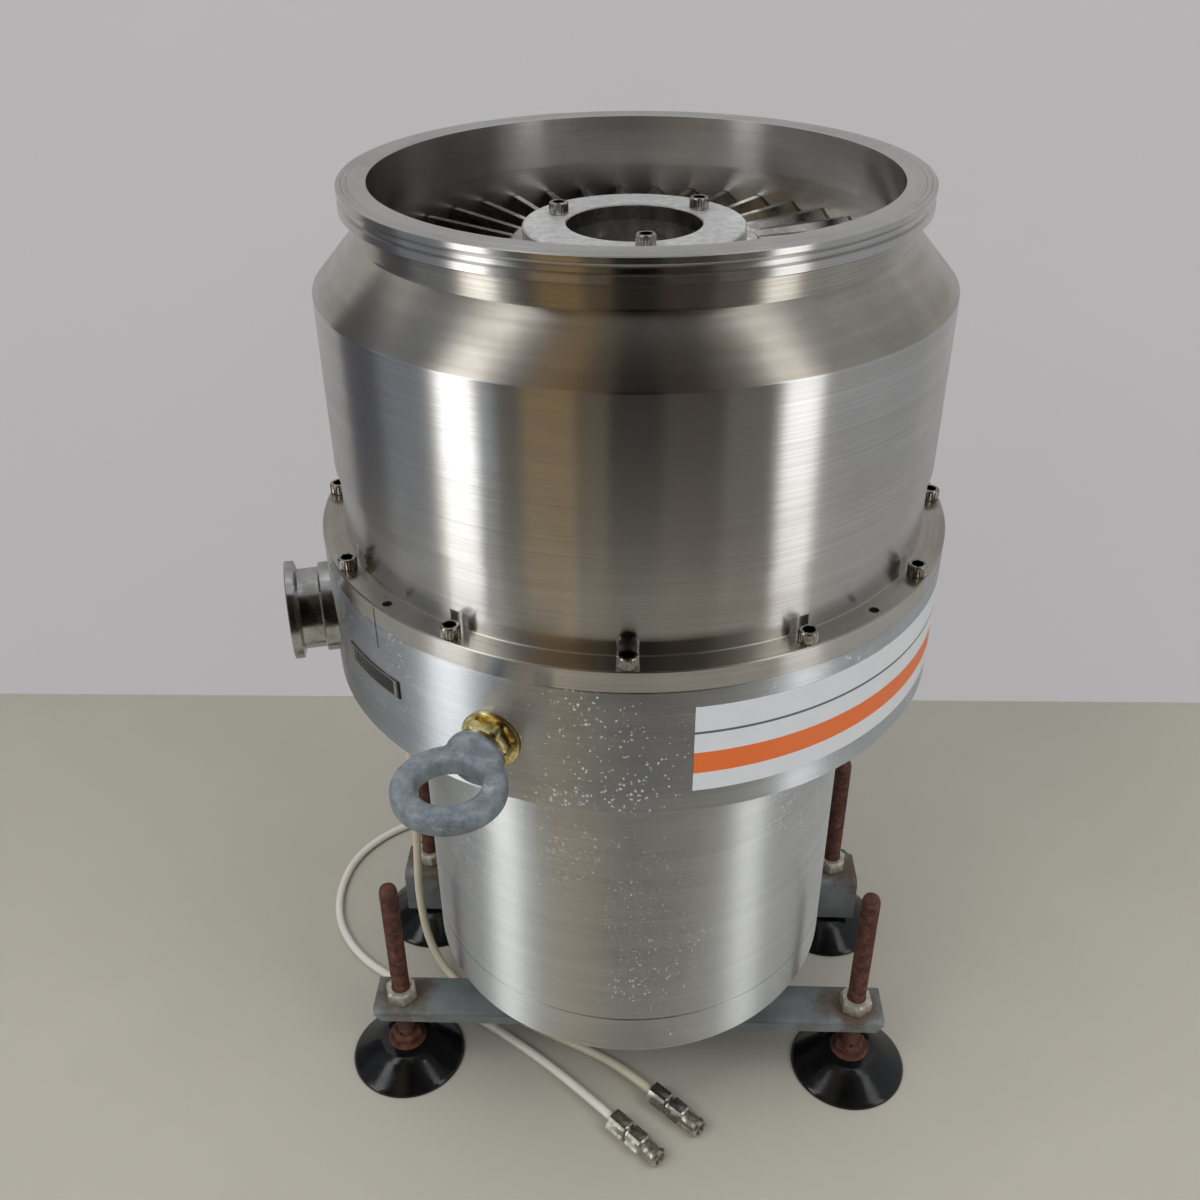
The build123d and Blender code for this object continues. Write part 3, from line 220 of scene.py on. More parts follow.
def worn_surface(name, colour, shade, roughness, metallic, grain_mm, relief, patch_mm=20.0,
                 third=None, third_from=0.62):
    """Cast, plated, painted or rusted surface: a fine grain, larger colour patches and a third tone."""
    material, tree, output, place = blank(name)
    grain = add(tree, "TexNoise", {
        "Vector": place, "Scale": 1 / (grain_mm * MM), "Detail": 4.0, "Roughness": 0.65})
    patches = add(tree, "TexNoise", {
        "Vector": place, "Scale": 1 / (patch_mm * MM), "Detail": 5.0, "Roughness": 0.6})
    tone = add(tree, "MapRange", {"Value": patches, "From Min": 0.35, "From Max": 0.65})
    fine = add(tree, "MapRange", {
        "Value": grain, "From Min": 0.3, "From Max": 0.7, "To Min": -0.3, "To Max": 0.3})
    tone = add(tree, "Math", {0: tone, 1: fine}, operation="ADD", use_clamp=True)
    paint = add(tree, "Mix", {
        "Factor": tone, 6: linear(colour), 7: linear(shade)}, data_type="RGBA").outputs[2]
    if third:
        more = add(tree, "TexNoise", {
            "Vector": place, "Scale": 0.6 / (patch_mm * MM), "Detail": 6.0, "Roughness": 0.7})
        more = add(tree, "MapRange", {
            "Value": more, "From Min": third_from, "From Max": third_from + 0.08})
        paint = add(tree, "Mix", {
            "Factor": more, 6: paint, 7: linear(third)}, data_type="RGBA").outputs[2]
    rough = add(tree, "MapRange", {
        "Value": tone, "To Min": max(0.03, roughness - 0.07), "To Max": roughness + 0.1})
    close(tree, output, surface(
        tree, grain, relief, 0.0003, Base_Color=paint, Metallic=metallic, Roughness=rough))
    return material


def label_film():
    """White vinyl film with generic print: a plain orange band and a thin grey line above it."""
    material, tree, output, place = blank("vinyl label film, printed")
    height = add(tree, "SeparateXYZ", {0: place}).outputs[2]
    paper = add(tree, "TexNoise", {"Vector": place, "Scale": 60.0, "Detail": 3.0})
    white = add(tree, "Mix", {
        "Factor": paper, 6: linear("#e3e4e6"), 7: linear("#d6d8db")}, data_type="RGBA").outputs[2]
    band_at, band_half, rule_at, rule_half = -0.2335, 0.0062, -0.2155, 0.0007
    band = add(tree, "Math", {0: height, 1: band_at, 2: band_half}, operation="COMPARE")
    rule = add(tree, "Math", {0: height, 1: rule_at, 2: rule_half}, operation="COMPARE")
    paint = add(tree, "Mix", {
        "Factor": band, 6: white, 7: linear("#e8702f")}, data_type="RGBA").outputs[2]
    paint = add(tree, "Mix", {
        "Factor": rule, 6: paint, 7: linear("#5b6068")}, data_type="RGBA").outputs[2]
    rough = add(tree, "MapRange", {"Value": paper, "To Min": 0.28, "To Max": 0.42})
    close(tree, output, surface(tree, paper, 0.05, 0.0002, Base_Color=paint, Roughness=rough))
    return material


def hose_tube(name, colour, tint):
    """Extruded polyamide tube: milky, a little translucent, with a soft gloss and dust."""
    material, tree, output, place = blank(name)
    dust = add(tree, "TexNoise", {"Vector": place, "Scale": 45.0, "Detail": 5.0})
    paint = add(tree, "Mix", {
        "Factor": dust, 6: linear(colour), 7: linear(tint)}, data_type="RGBA").outputs[2]
    rough = add(tree, "MapRange", {"Value": dust, "To Min": 0.25, "To Max": 0.45})
    close(tree, output, surface(
        tree, dust, 0.05, 0.0003, Base_Color=paint, Roughness=rough, Subsurface_Weight=0.25,
        Subsurface_Radius=(0.9, 0.8, 0.6), Subsurface_Scale=0.002))
    return material


def bar_paint(colour):
    """Alkyd paint on rolled steel angle: grey-blue and satin, stained by rust round the four rods."""
    material, tree, output, place = blank("alkyd paint on steel")
    grain = add(tree, "TexNoise", {"Vector": place, "Scale": 700.0, "Detail": 4.0, "Roughness": 0.65})
    patches = add(tree, "TexNoise", {"Vector": place, "Scale": 38.0, "Detail": 6.0, "Roughness": 0.65})
    tone = add(tree, "MapRange", {"Value": patches, "From Min": 0.35, "From Max": 0.65})
    paint = add(tree, "Mix", {
        "Factor": tone, 6: linear(colour), 7: linear("#5b6160")}, data_type="RGBA").outputs[2]
    # the same quarter serves all four rods
    quarter = add(tree, "VectorMath", {0: place}, operation="ABSOLUTE")
    away = add(tree, "VectorMath", {0: quarter, 1: (ROD_X, ROD_Y, -BAR_TOP * MM)},
               operation="DISTANCE").outputs["Value"]
    near = add(tree, "MapRange", {
        "Value": away, "From Min": 0.009, "From Max": 0.034, "To Min": 0.3, "To Max": -0.18})
    stain = add(tree, "Math", {0: patches, 1: near}, operation="ADD")
    stain = add(tree, "MapRange", {
        "Value": stain, "From Min": 0.52, "From Max": 0.74, "To Min": 0.0, "To Max": 0.8})
    paint = add(tree, "Mix", {
        "Factor": stain, 6: paint, 7: linear("#55402f")}, data_type="RGBA").outputs[2]
    rough = add(tree, "MapRange", {"Value": stain, "To Min": 0.38, "To Max": 0.7})
    close(tree, output, surface(tree, grain, 0.2, 0.0003, Base_Color=paint, Roughness=rough))
    return material


def cover_sheet(name, colour, shade, roughness):
    """Plain floor or wall covering with a faint mottle."""
    material, tree, output, place = blank(name)
    mottle = add(tree, "TexNoise", {"Vector": place, "Scale": 5.0, "Detail": 7.0, "Roughness": 0.7})
    grain = add(tree, "TexNoise", {"Vector": place, "Scale": 300.0, "Detail": 2.0})
    paint = add(tree, "Mix", {
        "Factor": mottle, 6: linear(colour), 7: linear(shade)}, data_type="RGBA").outputs[2]
    return material, tree, output, surface(
        tree, grain, 0.12, 0.0004, Base_Color=paint, Roughness=roughness)


MATERIALS = {}


def make_materials(colours):
    """All finishes of the pump, keyed by a short name or by the record's material slot."""
    m = MATERIALS
    # AISI 304 stainless steel, turned: cool grey with warm stains, tall streaked reflections
    m["stainless_turned"] = turned_metal(
        "stainless steel, turned", colours.stainless, "#b4b0ab", 0.2, 0.04, 0.93, 0.8, 0.12, 0.3)
    # the same steel turned with a coarse feed and left satin: dull and warmer
    m["stainless_satin"] = turned_metal(
        "stainless steel, satin turned", "#c2bdb4", "#999286", 0.24, 0.05, 0.88, 0.7, 0.15, 0.45)
    # sealing face, lapped in a cross pattern: even light grey
    m["stainless_lapped"] = turned_metal(
        "stainless steel, lapped", "#cfcfcc", "#aeaca6", 0.36, 0.1, 0.4, 0.5, 0.35, 0.4)
    # exhaust stub, turned and polished off the main axis: bright
    m["stainless_port"] = worn_surface(
        "stainless steel, polished", "#c4c4c2", "#9c9a96", 0.18, 1.0, 0.6, 0.06, 12.0)
    # 6061 aluminium, turned: bluish white, softer streaks, with pale chips and splashes
    m["aluminium_turned"] = turned_metal(
        "aluminium, turned", colours.aluminium, "#bfc3c7", 0.4, 0.06, 0.97, 0.9, 0.3, 0.4, 0.6)
    # barrel, turned more finely and brighter
    m["aluminium_barrel"] = turned_metal(
        "aluminium, fine turned", "#e8eaea", "#cfd2d3", 0.42, 0.06, 0.97, 0.8, 0.25, 0.3, 0.5)
    # blades milled from one forging: bright with cutter marks
    m["aluminium_milled"] = worn_surface(
        "aluminium, milled", "#d6d5d1", "#aaa79f", 0.27, 1.0, 1.1, 0.12, 14.0)
    # hub ring, machined and handled: mottled light grey
    m["hub_ring"] = worn_surface(
        "aluminium, machined and stained", "#dcdddb", "#bdbebb", 0.42, 0.7, 0.5, 0.3, 4.0, "#ecedec", 0.6)
    # A2 stainless screws, rolled and tumbled: bright with dark recesses
    m["steel_fastener"] = worn_surface(
        "stainless screw steel, tumbled", "#c3bfb8", "#8e8981", 0.24, 1.0, 0.5, 0.1, 3.0)
    m["lamination_steel"] = worn_surface(
        "silicon steel laminations", "#4b4c50", "#37383b", 0.5, 0.9, 0.4, 0.3, 6.0)
    m["shaft_steel"] = turned_metal(
        "ground shaft steel", "#b4b4b6", "#8f8f92", 0.2, 0.1, 0.6, 0.5, 0.3, 0.2)
    m["seal_rubber"] = worn_surface("fluorocarbon rubber seal", "#1d1d1e", "#101011", 0.5, 0.0, 0.4, 0.2)
    m["hose_plastic"] = hose_tube("polyamide hose, milky", colours.hose_new, "#cfcbbd")
    m["hose_aged"] = hose_tube("polyamide hose, yellowed", colours.hose_old, "#c3b797")
    # nickel-plated compression fittings: bright with worn corners
    m["fitting_steel"] = worn_surface(
        "plated steel fitting", "#dedcd5", "#a29e92", 0.26, 1.0, 0.5, 0.12, 4.0, "#8d8268", 0.66)
    # hot-dip galvanised forging: matt blue-grey, slightly rough
    m["galvanised_steel"] = worn_surface(
        "hot-dip galvanised forging", "#8e979d", "#6e777d", 0.55, 0.45, 1.3, 0.55, 9.0, "#a7aeb2", 0.62)
    # yellow chromate on zinc: gold with green and brown patches
    m["yellow_zinc"] = worn_surface(
        "zinc, yellow chromate", "#ece0ae", "#b39a58", 0.2, 1.0, 0.5, 0.12, 4.0, "#cfd6b8", 0.58)
    m["label_film"] = label_film()
    # black anodised plate, left blank
    m["black_plate"] = worn_surface("anodised plate, black", "#1b1c1e", "#2a2b2d", 0.35, 0.4, 0.3, 0.1, 5.0)
    m["plate_border"] = worn_surface(
        "anodised plate, bare border", "#a3a5a6", "#87898a", 0.35, 0.9, 0.3, 0.1)
    m["socket_shell"] = worn_surface("anodised connector shell", "#7f8386", "#696c6f", 0.35, 0.9, 0.5, 0.1)
    m["bar_paint"] = bar_paint(colours.bar_paint)
    # bright zinc plate, dulled: pale grey
    m["zinc_nut"] = worn_surface("zinc plate, dulled", "#d2cec0", "#aba697", 0.4, 0.6, 0.6, 0.25, 4.0,
                                 "#8a6f50", 0.66)
    # mild steel, rusted: brown over dark, matt and pitted
    m["rusted_steel"] = worn_surface("mild steel, rusted", "#6b4234", "#432b24", 0.75, 0.1, 0.7, 0.9, 5.0,
                                     "#86563f", 0.6)
    # moulded glass-filled polyamide, oiled: deep black with a soft gloss
    m["pad_plastic"] = worn_surface("polyamide, moulded black", "#0a0a0b", "#121213", 0.13, 0.0, 0.8, 0.05,
                                    12.0, "#1d1c1b", 0.66)
    m["scribe"] = worn_surface("scribed line, dark", "#3d3d3d", "#2b2b2b", 0.6, 0.3, 0.4, 0.1)


# ---- mesh helpers, all in mm until the mesh is made ----

def outline_face(bm, points):
    """A face in the XZ plane from (radius, height) corners."""
    return bm.faces.new([bm.verts.new((r * MM, 0.0, z * MM)) for r, z in points])


def turned(points, steps, edge_break=0.0, corners=None):
    """Solid of revolution from (radius, height) corners; the named corners are broken."""
    bm = bmesh.new()
    face = outline_face(bm, points)
    if edge_break:
        chosen = [v for i, v in enumerate(face.verts[:]) if corners is None or i in corners]
        bmesh.ops.bevel(bm, geom=chosen, affect="VERTICES", offset=edge_break * MM, segments=2,
                        profile=0.5, material=-1, clamp_overlap=True)
    bmesh.ops.delete(bm, geom=bm.faces[:], context="FACES_ONLY")
    bmesh.ops.spin(bm, geom=bm.edges[:], cent=(0, 0, 0), axis=(0, 0, 1), angle=2 * math.pi,
                   steps=steps, use_merge=True)
    bmesh.ops.remove_doubles(bm, verts=bm.verts[:], dist=1e-6)
    return bm


def loop(bm, size, z, kind="round"):
    """Closed loop at a height: round or knurled with size its radius, or hex with size half its flats."""
    known = set(bm.edges)
    sides = 6 if kind == "hex" else RING_POINTS
    reach = size / math.cos(math.pi / 6) if kind == "hex" else size
    made = bmesh.ops.create_circle(bm, cap_ends=False, radius=reach * MM, segments=sides,
                                   matrix=Matrix.Translation((0, 0, z * MM)))
    if kind == "hex":
        edges = [e for e in bm.edges if e not in known]
        bmesh.ops.subdivide_edges(bm, edges=edges, cuts=RING_POINTS // 6 - 1)
    if kind == "knurl":
        for vert in made["verts"][::2]:
            vert.co.xy *= 1 - KNURL_DEPTH / size
    return [e for e in bm.edges if e not in known]


def stacked(loops, ends=True):
    """Joins loops of (size, height, kind) in order; ends closes the first and last, or joins them."""
    bm = bmesh.new()
    rings = [loop(bm, *each) for each in loops]
    for lower, upper in zip(rings, rings[1:]):
        bmesh.ops.bridge_loops(bm, edges=lower + upper)
    if ends:
        bmesh.ops.edgeloop_fill(bm, edges=rings[0])
        bmesh.ops.edgeloop_fill(bm, edges=rings[-1])
    else:
        bmesh.ops.bridge_loops(bm, edges=rings[-1] + rings[0])
    return bm


def joined(*items):
    """Copies finished bmeshes, each with its places, into one bmesh."""
    out = bmesh.new()
    for item, places in items:
        mesh = bpy.data.meshes.new("part")
        item.to_mesh(mesh)
        item.free()
        for place in places:
            known = len(out.verts)
            out.from_mesh(mesh)
            out.verts.ensure_lookup_table()
            bmesh.ops.transform(out, matrix=place, verts=out.verts[known:])
        bpy.data.meshes.remove(mesh)
    return out


def linked(name, data):
    """A new object for its data, in the scene."""
    made = bpy.data.objects.new(name, data)
    bpy.context.scene.collection.objects.link(made)
    return made


def placed(name, bm):
    """A finished bmesh as an object in the scene."""
    mesh = bpy.data.meshes.new(name)
    bm.to_mesh(mesh)
    bm.free()
    return linked(name, mesh)


def mesh_object(name, bm):
    """A closed bmesh as an object, with its faces turned outwards."""
    bmesh.ops.recalc_face_normals(bm, faces=bm.faces[:])
    return placed(name, bm)


def settle(piece):
    """Keeps the result of a piece's modifiers as its own mesh."""
    baked = bpy.data.meshes.new_from_object(piece.evaluated_get(bpy.context.evaluated_depsgraph_get()))
    piece.modifiers.clear()
    old = piece.data
    piece.data = baked
    bpy.data.meshes.remove(old)


def dress(piece, body, slot, nodes, finishes=None, rule=None, sharp=32.0):
    """Shading, materials and body of the piece, and hides the CAD nodes that it stands for.
    The slot names the finish, unless finishes are given, and where there are several,
    rule picks one from a face's radius and height in mm."""
    mesh = piece.data
    mesh.polygons.foreach_set("use_smooth", [True] * len(mesh.polygons))
    mesh.set_sharp_from_angle(angle=math.radians(sharp))
    mesh.materials.clear()
    for finish in finishes or [slot]:
        mesh.materials.append(MATERIALS[finish])
    if rule:
        for face in mesh.polygons:
            centre = face.center / MM
            face.material_index = rule(math.hypot(centre.x, centre.y), centre.z)
    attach(piece, body)
    if nodes:
        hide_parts(*nodes)
    return piece


def carve(piece, cutters):
    """Cuts shapes out of a piece and keeps the result as its own mesh."""
    tool = mesh_object(piece.name + "_cut", cutters)
    cut = piece.modifiers.new("cut", "BOOLEAN")
    cut.operation = "DIFFERENCE"
    cut.solver = "EXACT"
    cut.object = tool
    settle(piece)
    bpy.data.objects.remove(tool)


def about(degrees, radius=0.0, z=0.0):
    """Place on a circle about the pump axis, X pointing outwards."""
    return Matrix.Rotation(math.radians(degrees), 4, "Z") @ Matrix.Translation((radius * MM, 0, z * MM))


def outwards(degrees, z, reach=0.0):
    """Place whose Z axis runs radially out of the pump at a height."""
    return about(degrees, reach, z) @ Matrix.Rotation(math.pi / 2, 4, "Y")


def cap_screw(head_d, head_h, key_af):
    """Socket cap screw head with a knurled side, a chamfered rim and a hexagon socket."""
    r = head_d / 2
    return stacked([
        (r - 0.5, 0), (r, 0.3, "knurl"), (r, head_h - 0.8, "knurl"), (r - 0.15, head_h - 0.6),
        (r - 0.6, head_h), (key_af * 0.62, head_h), (key_af / 2, head_h - 0.5, "hex"),
        (key_af / 2, head_h * 0.45, "hex")])


def hex_nut(flats, height, bore_d, chamfer=0.9):
    half = flats / 2
    return stacked([
        (bore_d / 2, 0), (half * 0.96, 0), (half, chamfer, "hex"),
        (half, height - chamfer, "hex"), (half * 0.96, height), (bore_d / 2 + 0.5, height),
        (bore_d / 2, height - 0.5)], ends=False)


def washer(bore_r, outer_r, low, high, height):
    """Flat washer whose rim is chamfered below low and above high."""
    return stacked([(bore_r, 0), (outer_r - 0.4, 0), (outer_r, low), (outer_r, high),
                    (outer_r - 0.4, height), (bore_r, height)], ends=False)


def threaded(pitch, crest_d, root_d, low, high):
    """(radius, height) corners of ridges up a threaded length."""
    count = int((high - low) / pitch)
    corners = []
    for i in range(count):
        corners += [(root_d / 2, low + i * pitch), (crest_d / 2, low + (i + 0.4) * pitch),
                    (crest_d / 2, low + (i + 0.6) * pitch)]
    return corners


# ---- operators ----

class PUMP_OT_stage(bpy.types.Operator):
    """Camera, floor, wall, lights and reflector cards"""
    bl_idname = "pump.stage"
    bl_label = "Stage"

    def execute(self, context):
        colours = context.scene.pump_colours
        yaw, pitch, roll = math.radians(-2.24), math.radians(32.32), math.radians(-0.47)
        right = Vector((math.cos(yaw), -math.sin(yaw), 0))
        ahead = Vector((math.sin(yaw) * math.cos(pitch), math.cos(yaw) * math.cos(pitch), -math.sin(pitch)))
        up = right.cross(ahead)
        side = right * math.cos(roll) + up * math.sin(roll)
        head = up * math.cos(roll) - right * math.sin(roll)
        lens = bpy.data.cameras.new("view")
        lens.sensor_width = 36.0
        lens.lens = 36.66
        lens.clip_start = 0.02
        camera = linked("view", lens)
        turn = Matrix((side, head, -ahead)).transposed().to_4x4()
        camera_place = (0.00541, -0.61935, 0.1417)
        camera.matrix_world = Matrix.Translation(camera_place) @ turn
        context.scene.camera = camera
        context.scene.view_settings.view_transform = "Standard"

        floor_z = CAD_BOX[0].z
        floor = self.sheet("floor", Matrix.Translation((0, 0, floor_z)), 3.5, 3.5)
        material, tree, output, shader = cover_sheet(
            "sheet flooring, beige grey", colours.floor, "#a9a598", 0.5)
        close(tree, output, shader)
        floor.data.materials.append(material)
        wall_turn, wall_y, half_height = math.radians(0.74), 0.3505, 1.5
        wall_place = (Matrix.Rotation(wall_turn, 4, "Z")
                      @ Matrix.Translation((0, wall_y, floor_z + half_height))
                      @ Matrix.Rotation(math.pi / 2, 4, "X"))
        wall = self.sheet("wall", wall_place, 3.5, half_height)
        material, tree, output, shader = cover_sheet(
            "painted wall, pale grey", colours.wall, "#bcbbbd", 0.7)
        behind = add(tree, "NewGeometry").outputs["Backfacing"]
        clear = add(tree, "BsdfTransparent")
        paper = add(tree, "Emission", {"Color": linear("#b7b5b6")})
        straight = add(tree, "LightPath").outputs["Is Camera Ray"]
        straight = add(tree, "Math", {0: straight, 1: 0.75}, operation="MULTIPLY")
        even = add(tree, "MixShader", {0: straight, 1: shader, 2: paper})
        close(tree, output, add(tree, "MixShader", {0: behind, 1: even, 2: clear}))
        wall.data.materials.append(material)

        world = bpy.data.worlds.new("room")
        context.scene.world = world
        world.use_nodes = True
        world.node_tree.nodes["Background"].inputs[0].default_value = linear("#c9cbd0")
        world.node_tree.nodes["Background"].inputs[1].default_value = 0.85

        self.lamp("key", (-1.3, -1.1, 1.6), 1.4, 1.2, 22.0)
        self.lamp("fill", (1.6, -1.0, 1.4), 1.2, 1.2, 16.0)
        self.lamp("top", (0.1, -0.2, 2.1), 1.6, 1.6, 16.0)

        # cards on the floor round the pump: from, to (degrees from the front), height, tone, strength
        cards = [
            (-118, -90, 0.9, "#5c5d62", 0.9), (-90, -67, 1.3, "#858b92", 0.9),
            (-64, -50, 2.6, "#ffffff", 2.3), (-50, -43, 2.4, "#9ca2a8", 0.9),
            (-43, -34, 2.4, "#605d58", 0.8), (-34, -17, 2.4, "#9a835f", 0.75),
            (-17, -7, 2.4, "#665b4b", 0.75), (-7, 10, 2.4, "#0d0c0c", 0.5),
            (10, 29, 2.4, "#443d37", 0.75), (29, 46, 2.4, "#6e6b66", 0.8),
            (48, 61, 2.6, "#ffffff", 1.7), (63, 112, 1.3, "#a3a5a7", 1.0),
        ]
        for index, card in enumerate(cards):
            self.card(index, *card, floor_z)
        return {"FINISHED"}

    def sheet(self, name, place, half_x, half_y):
        bm = bmesh.new()
        bmesh.ops.create_grid(bm, x_segments=2, y_segments=2, size=1.0)
        bmesh.ops.scale(bm, vec=(half_x, half_y, 1), verts=bm.verts[:])
        bmesh.ops.transform(bm, matrix=place, verts=bm.verts[:])
        made = placed(name, bm)
        return made

    def lamp(self, name, place, width, height, power):
        light = bpy.data.lights.new(name, "AREA")
        light.shape = "RECTANGLE"
        light.size, light.size_y = width, height
        light.energy = power
        lamp = linked(name, light)
        lamp.location = place
        lamp.rotation_mode = "QUATERNION"
        lamp.rotation_quaternion = (Vector((0, 0, -0.25)) - Vector(place)).to_track_quat("-Z", "Y")
        lamp.visible_camera = False
        lamp.visible_glossy = False

    def card(self, index, start, end, height, tone, strength, floor_z):
        """A card that only reflections see, between two bearings from the front."""
        bm = bmesh.new()
        bmesh.ops.create_grid(bm, x_segments=1, y_segments=1, size=0.5)
        reach = 0.85
        width = 2 * reach * math.tan(math.radians(end - start) / 2)
        bmesh.ops.scale(bm, vec=(width, height, 1), verts=bm.verts[:])
        middle = math.radians((start + end) / 2)
        place = (Matrix.Rotation(middle, 4, "Z") @ Matrix.Translation((0, -reach, floor_z + height / 2))
                 @ Matrix.Rotation(math.pi / 2, 4, "X"))
        bmesh.ops.transform(bm, matrix=place, verts=bm.verts[:])
        made = placed(f"card_{index}", bm)
        material, tree, output, _ = blank(f"reflector card {index}")
        close(tree, output, add(tree, "Emission", {"Color": linear(tone), "Strength": strength}))
        made.data.materials.append(material)
        for seen in ("visible_camera", "visible_diffuse", "visible_shadow", "visible_transmission"):
            setattr(made, seen, False)


class PUMP_OT_hoses(bpy.types.Operator):
    """The two cooling hoses with their loose fittings"""
    bl_idname = "pump.hoses"
    bl_label = "Cooling Hoses"

    def execute(self, context):
        lying, propped = -0.5839, -0.5799     # heights on the floor and near the fittings
        routes = {
            "a": [(-0.04082, 0.14719, -0.298), (-0.04082, 0.14719, -0.353), (-0.042, 0.1495, -0.41),
                  (-0.049, 0.156, -0.47), (-0.063, 0.165, -0.525), (-0.09, 0.174, -0.566),
                  (-0.128, 0.177, lying), (-0.166, 0.172, lying), (-0.203, 0.155, lying),
                  (-0.229, 0.122, lying), (-0.235, 0.082, lying), (-0.226, 0.043, lying),
                  (-0.199, 0.009, lying), (-0.157, -0.015, lying), (-0.112, -0.036, lying),
                  (-0.076, -0.06, lying), (-0.041, -0.09, propped), (-0.0084, -0.1199, propped)],
            "b": [(-0.15066, 0.02521, -0.298), (-0.15066, 0.02521, -0.358), (-0.151, 0.028, -0.42),
                  (-0.1535, 0.028, -0.475), (-0.1555, 0.022, -0.525), (-0.148, 0.009, -0.565),
                  (-0.127, -0.009, lying), (-0.095, -0.031, lying), (-0.06, -0.049, lying),
                  (-0.027, -0.064, lying), (-0.003, -0.081, propped), (0.0175, -0.0988, propped)],
        }
        finishes = {"a": "hose_plastic", "b": "hose_aged"}
        for key, route in routes.items():
            curve = bpy.data.curves.new(f"hose_{key}_tube", "CURVE")
            curve.dimensions = "3D"
            curve.bevel_depth = context.scene.pump_sizes.hose_d / 2
            curve.bevel_resolution = 6
            curve.use_fill_caps = True
            curve.resolution_u = 16
            spline = curve.splines.new("NURBS")
            spline.points.add(len(route) - 1)
            for point, (x, y, z) in zip(spline.points, route):
                point.co = (x, y, z, 1.0)
            spline.order_u = 3
            spline.use_endpoint_u = True
            curve.materials.append(MATERIALS[finishes[key]])
            tube = linked(f"hose_{key}_tube", curve)
            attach(tube, "pump")
            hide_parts(f"hose_{key}")
            fitting = self.fitting(key, Vector(route[-2]), Vector(route[-1]))
        return {"FINISHED"}

    def fitting(self, key, before, end):
        ridges = threaded(1.2, 13.0, 11.6, 29.6, 41.4)
        bm = stacked([
            (3.4, 0.2), (6.2, 0), (7, 0.9, "hex"), (7, 14.1, "hex"), (6.5, 15),
            (5.5, 15.1), (5.5, 16.9), (6.5, 17), (7, 17.9, "hex"),
            (7, 28.1, "hex"), (6.5, 29), *ridges,
            (5.6, 42), (4.2, 42), (4.0, 41.6), (4.0, 28)])
        ahead = (end - before).normalized()
        up = Vector((0, 0, 1))
        turn = Matrix((up, ahead.cross(up), ahead)).transposed().to_4x4()
        place = Matrix.Translation(end) @ turn
        piece = mesh_object(f"hose_{key}_loose_fitting", joined((bm, [place])))
        return dress(piece, "pump", "fitting_steel", [f"hose_{key}_fitting"])


class PUMP_OT_casing(bpy.types.Operator):
    """Stainless inlet casing with its screws"""
    bl_idname = "pump.casing"
    bl_label = "Inlet Casing"

    def execute(self, context):
        bm = turned([
            (130.5, -0.3), (130.8, 0), (139.6, 0), (139.8, -0.25), (140.0, 0), (142.2, 0), (142.4, -0.25),
            (142.6, 0), (144.5, 0), (145, -0.5), (145, -3.0), (143.3, -3.7), (142.5, -5.5), (143.3, -7.3),
            (145, -8.0), (145, -11.4), (144.4, -12), (139.2, -12), (138.75, -12.6), (138.75, -23.4),
            (139.1, -24.3), (161.7, -49.7), (162, -50.4), (162, -139.8), (159.6, -140.0), (159.6, -140.7),
            (160.2, -141.0), (160.2, -178.7), (160.7, FLANGE_TOP), (172.4, FLANGE_TOP), (173, -179.8),
            (173, -190.6), (172.6, -191), (150, -191), (150, -48), (137.2, -48), (137.2, -26.6),
            (130.5, -26.6)], context.scene.pump_sizes.turn_steps)
        piece = mesh_object("inlet_casing", bm)
        pockets = stacked([(9.0, -9.0), (9.0, 0.02)])
        jacks = stacked([(2.5, -13.0), (2.5, 1.0)])
        pocket_places = [about(30 * i, SCREW_CIRCLE_R, FLANGE_TOP + 9) for i in range(12)]
        jack_places = [about(45 + 90 * i, SCREW_CIRCLE_R, FLANGE_TOP) for i in range(4)]
        carve(piece, joined((pockets, pocket_places), (jacks, jack_places)))

        def finish(r, z):
            if z > -0.6 and r > 130.6:
                return 2
            if -49.9 < z < -12.3 and r > 138:
                return 1
            if -179.6 < z < -178.9:
                return 3
            return 0

        dress(piece, "pump", "stainless_turned", ["inlet_body"],
              ["stainless_turned", "stainless_satin", "stainless_lapped", "stainless_satin"], finish, 20)
        screw_places = [about(30 * i, SCREW_CIRCLE_R, FLANGE_TOP) for i in range(12)]
        screws = mesh_object("casing_screws", joined((cap_screw(10.0, 6.0, 5.0), screw_places)))
        dress(screws, "pump", "steel_fastener", ["body_screws"])
        return {"FINISHED"}


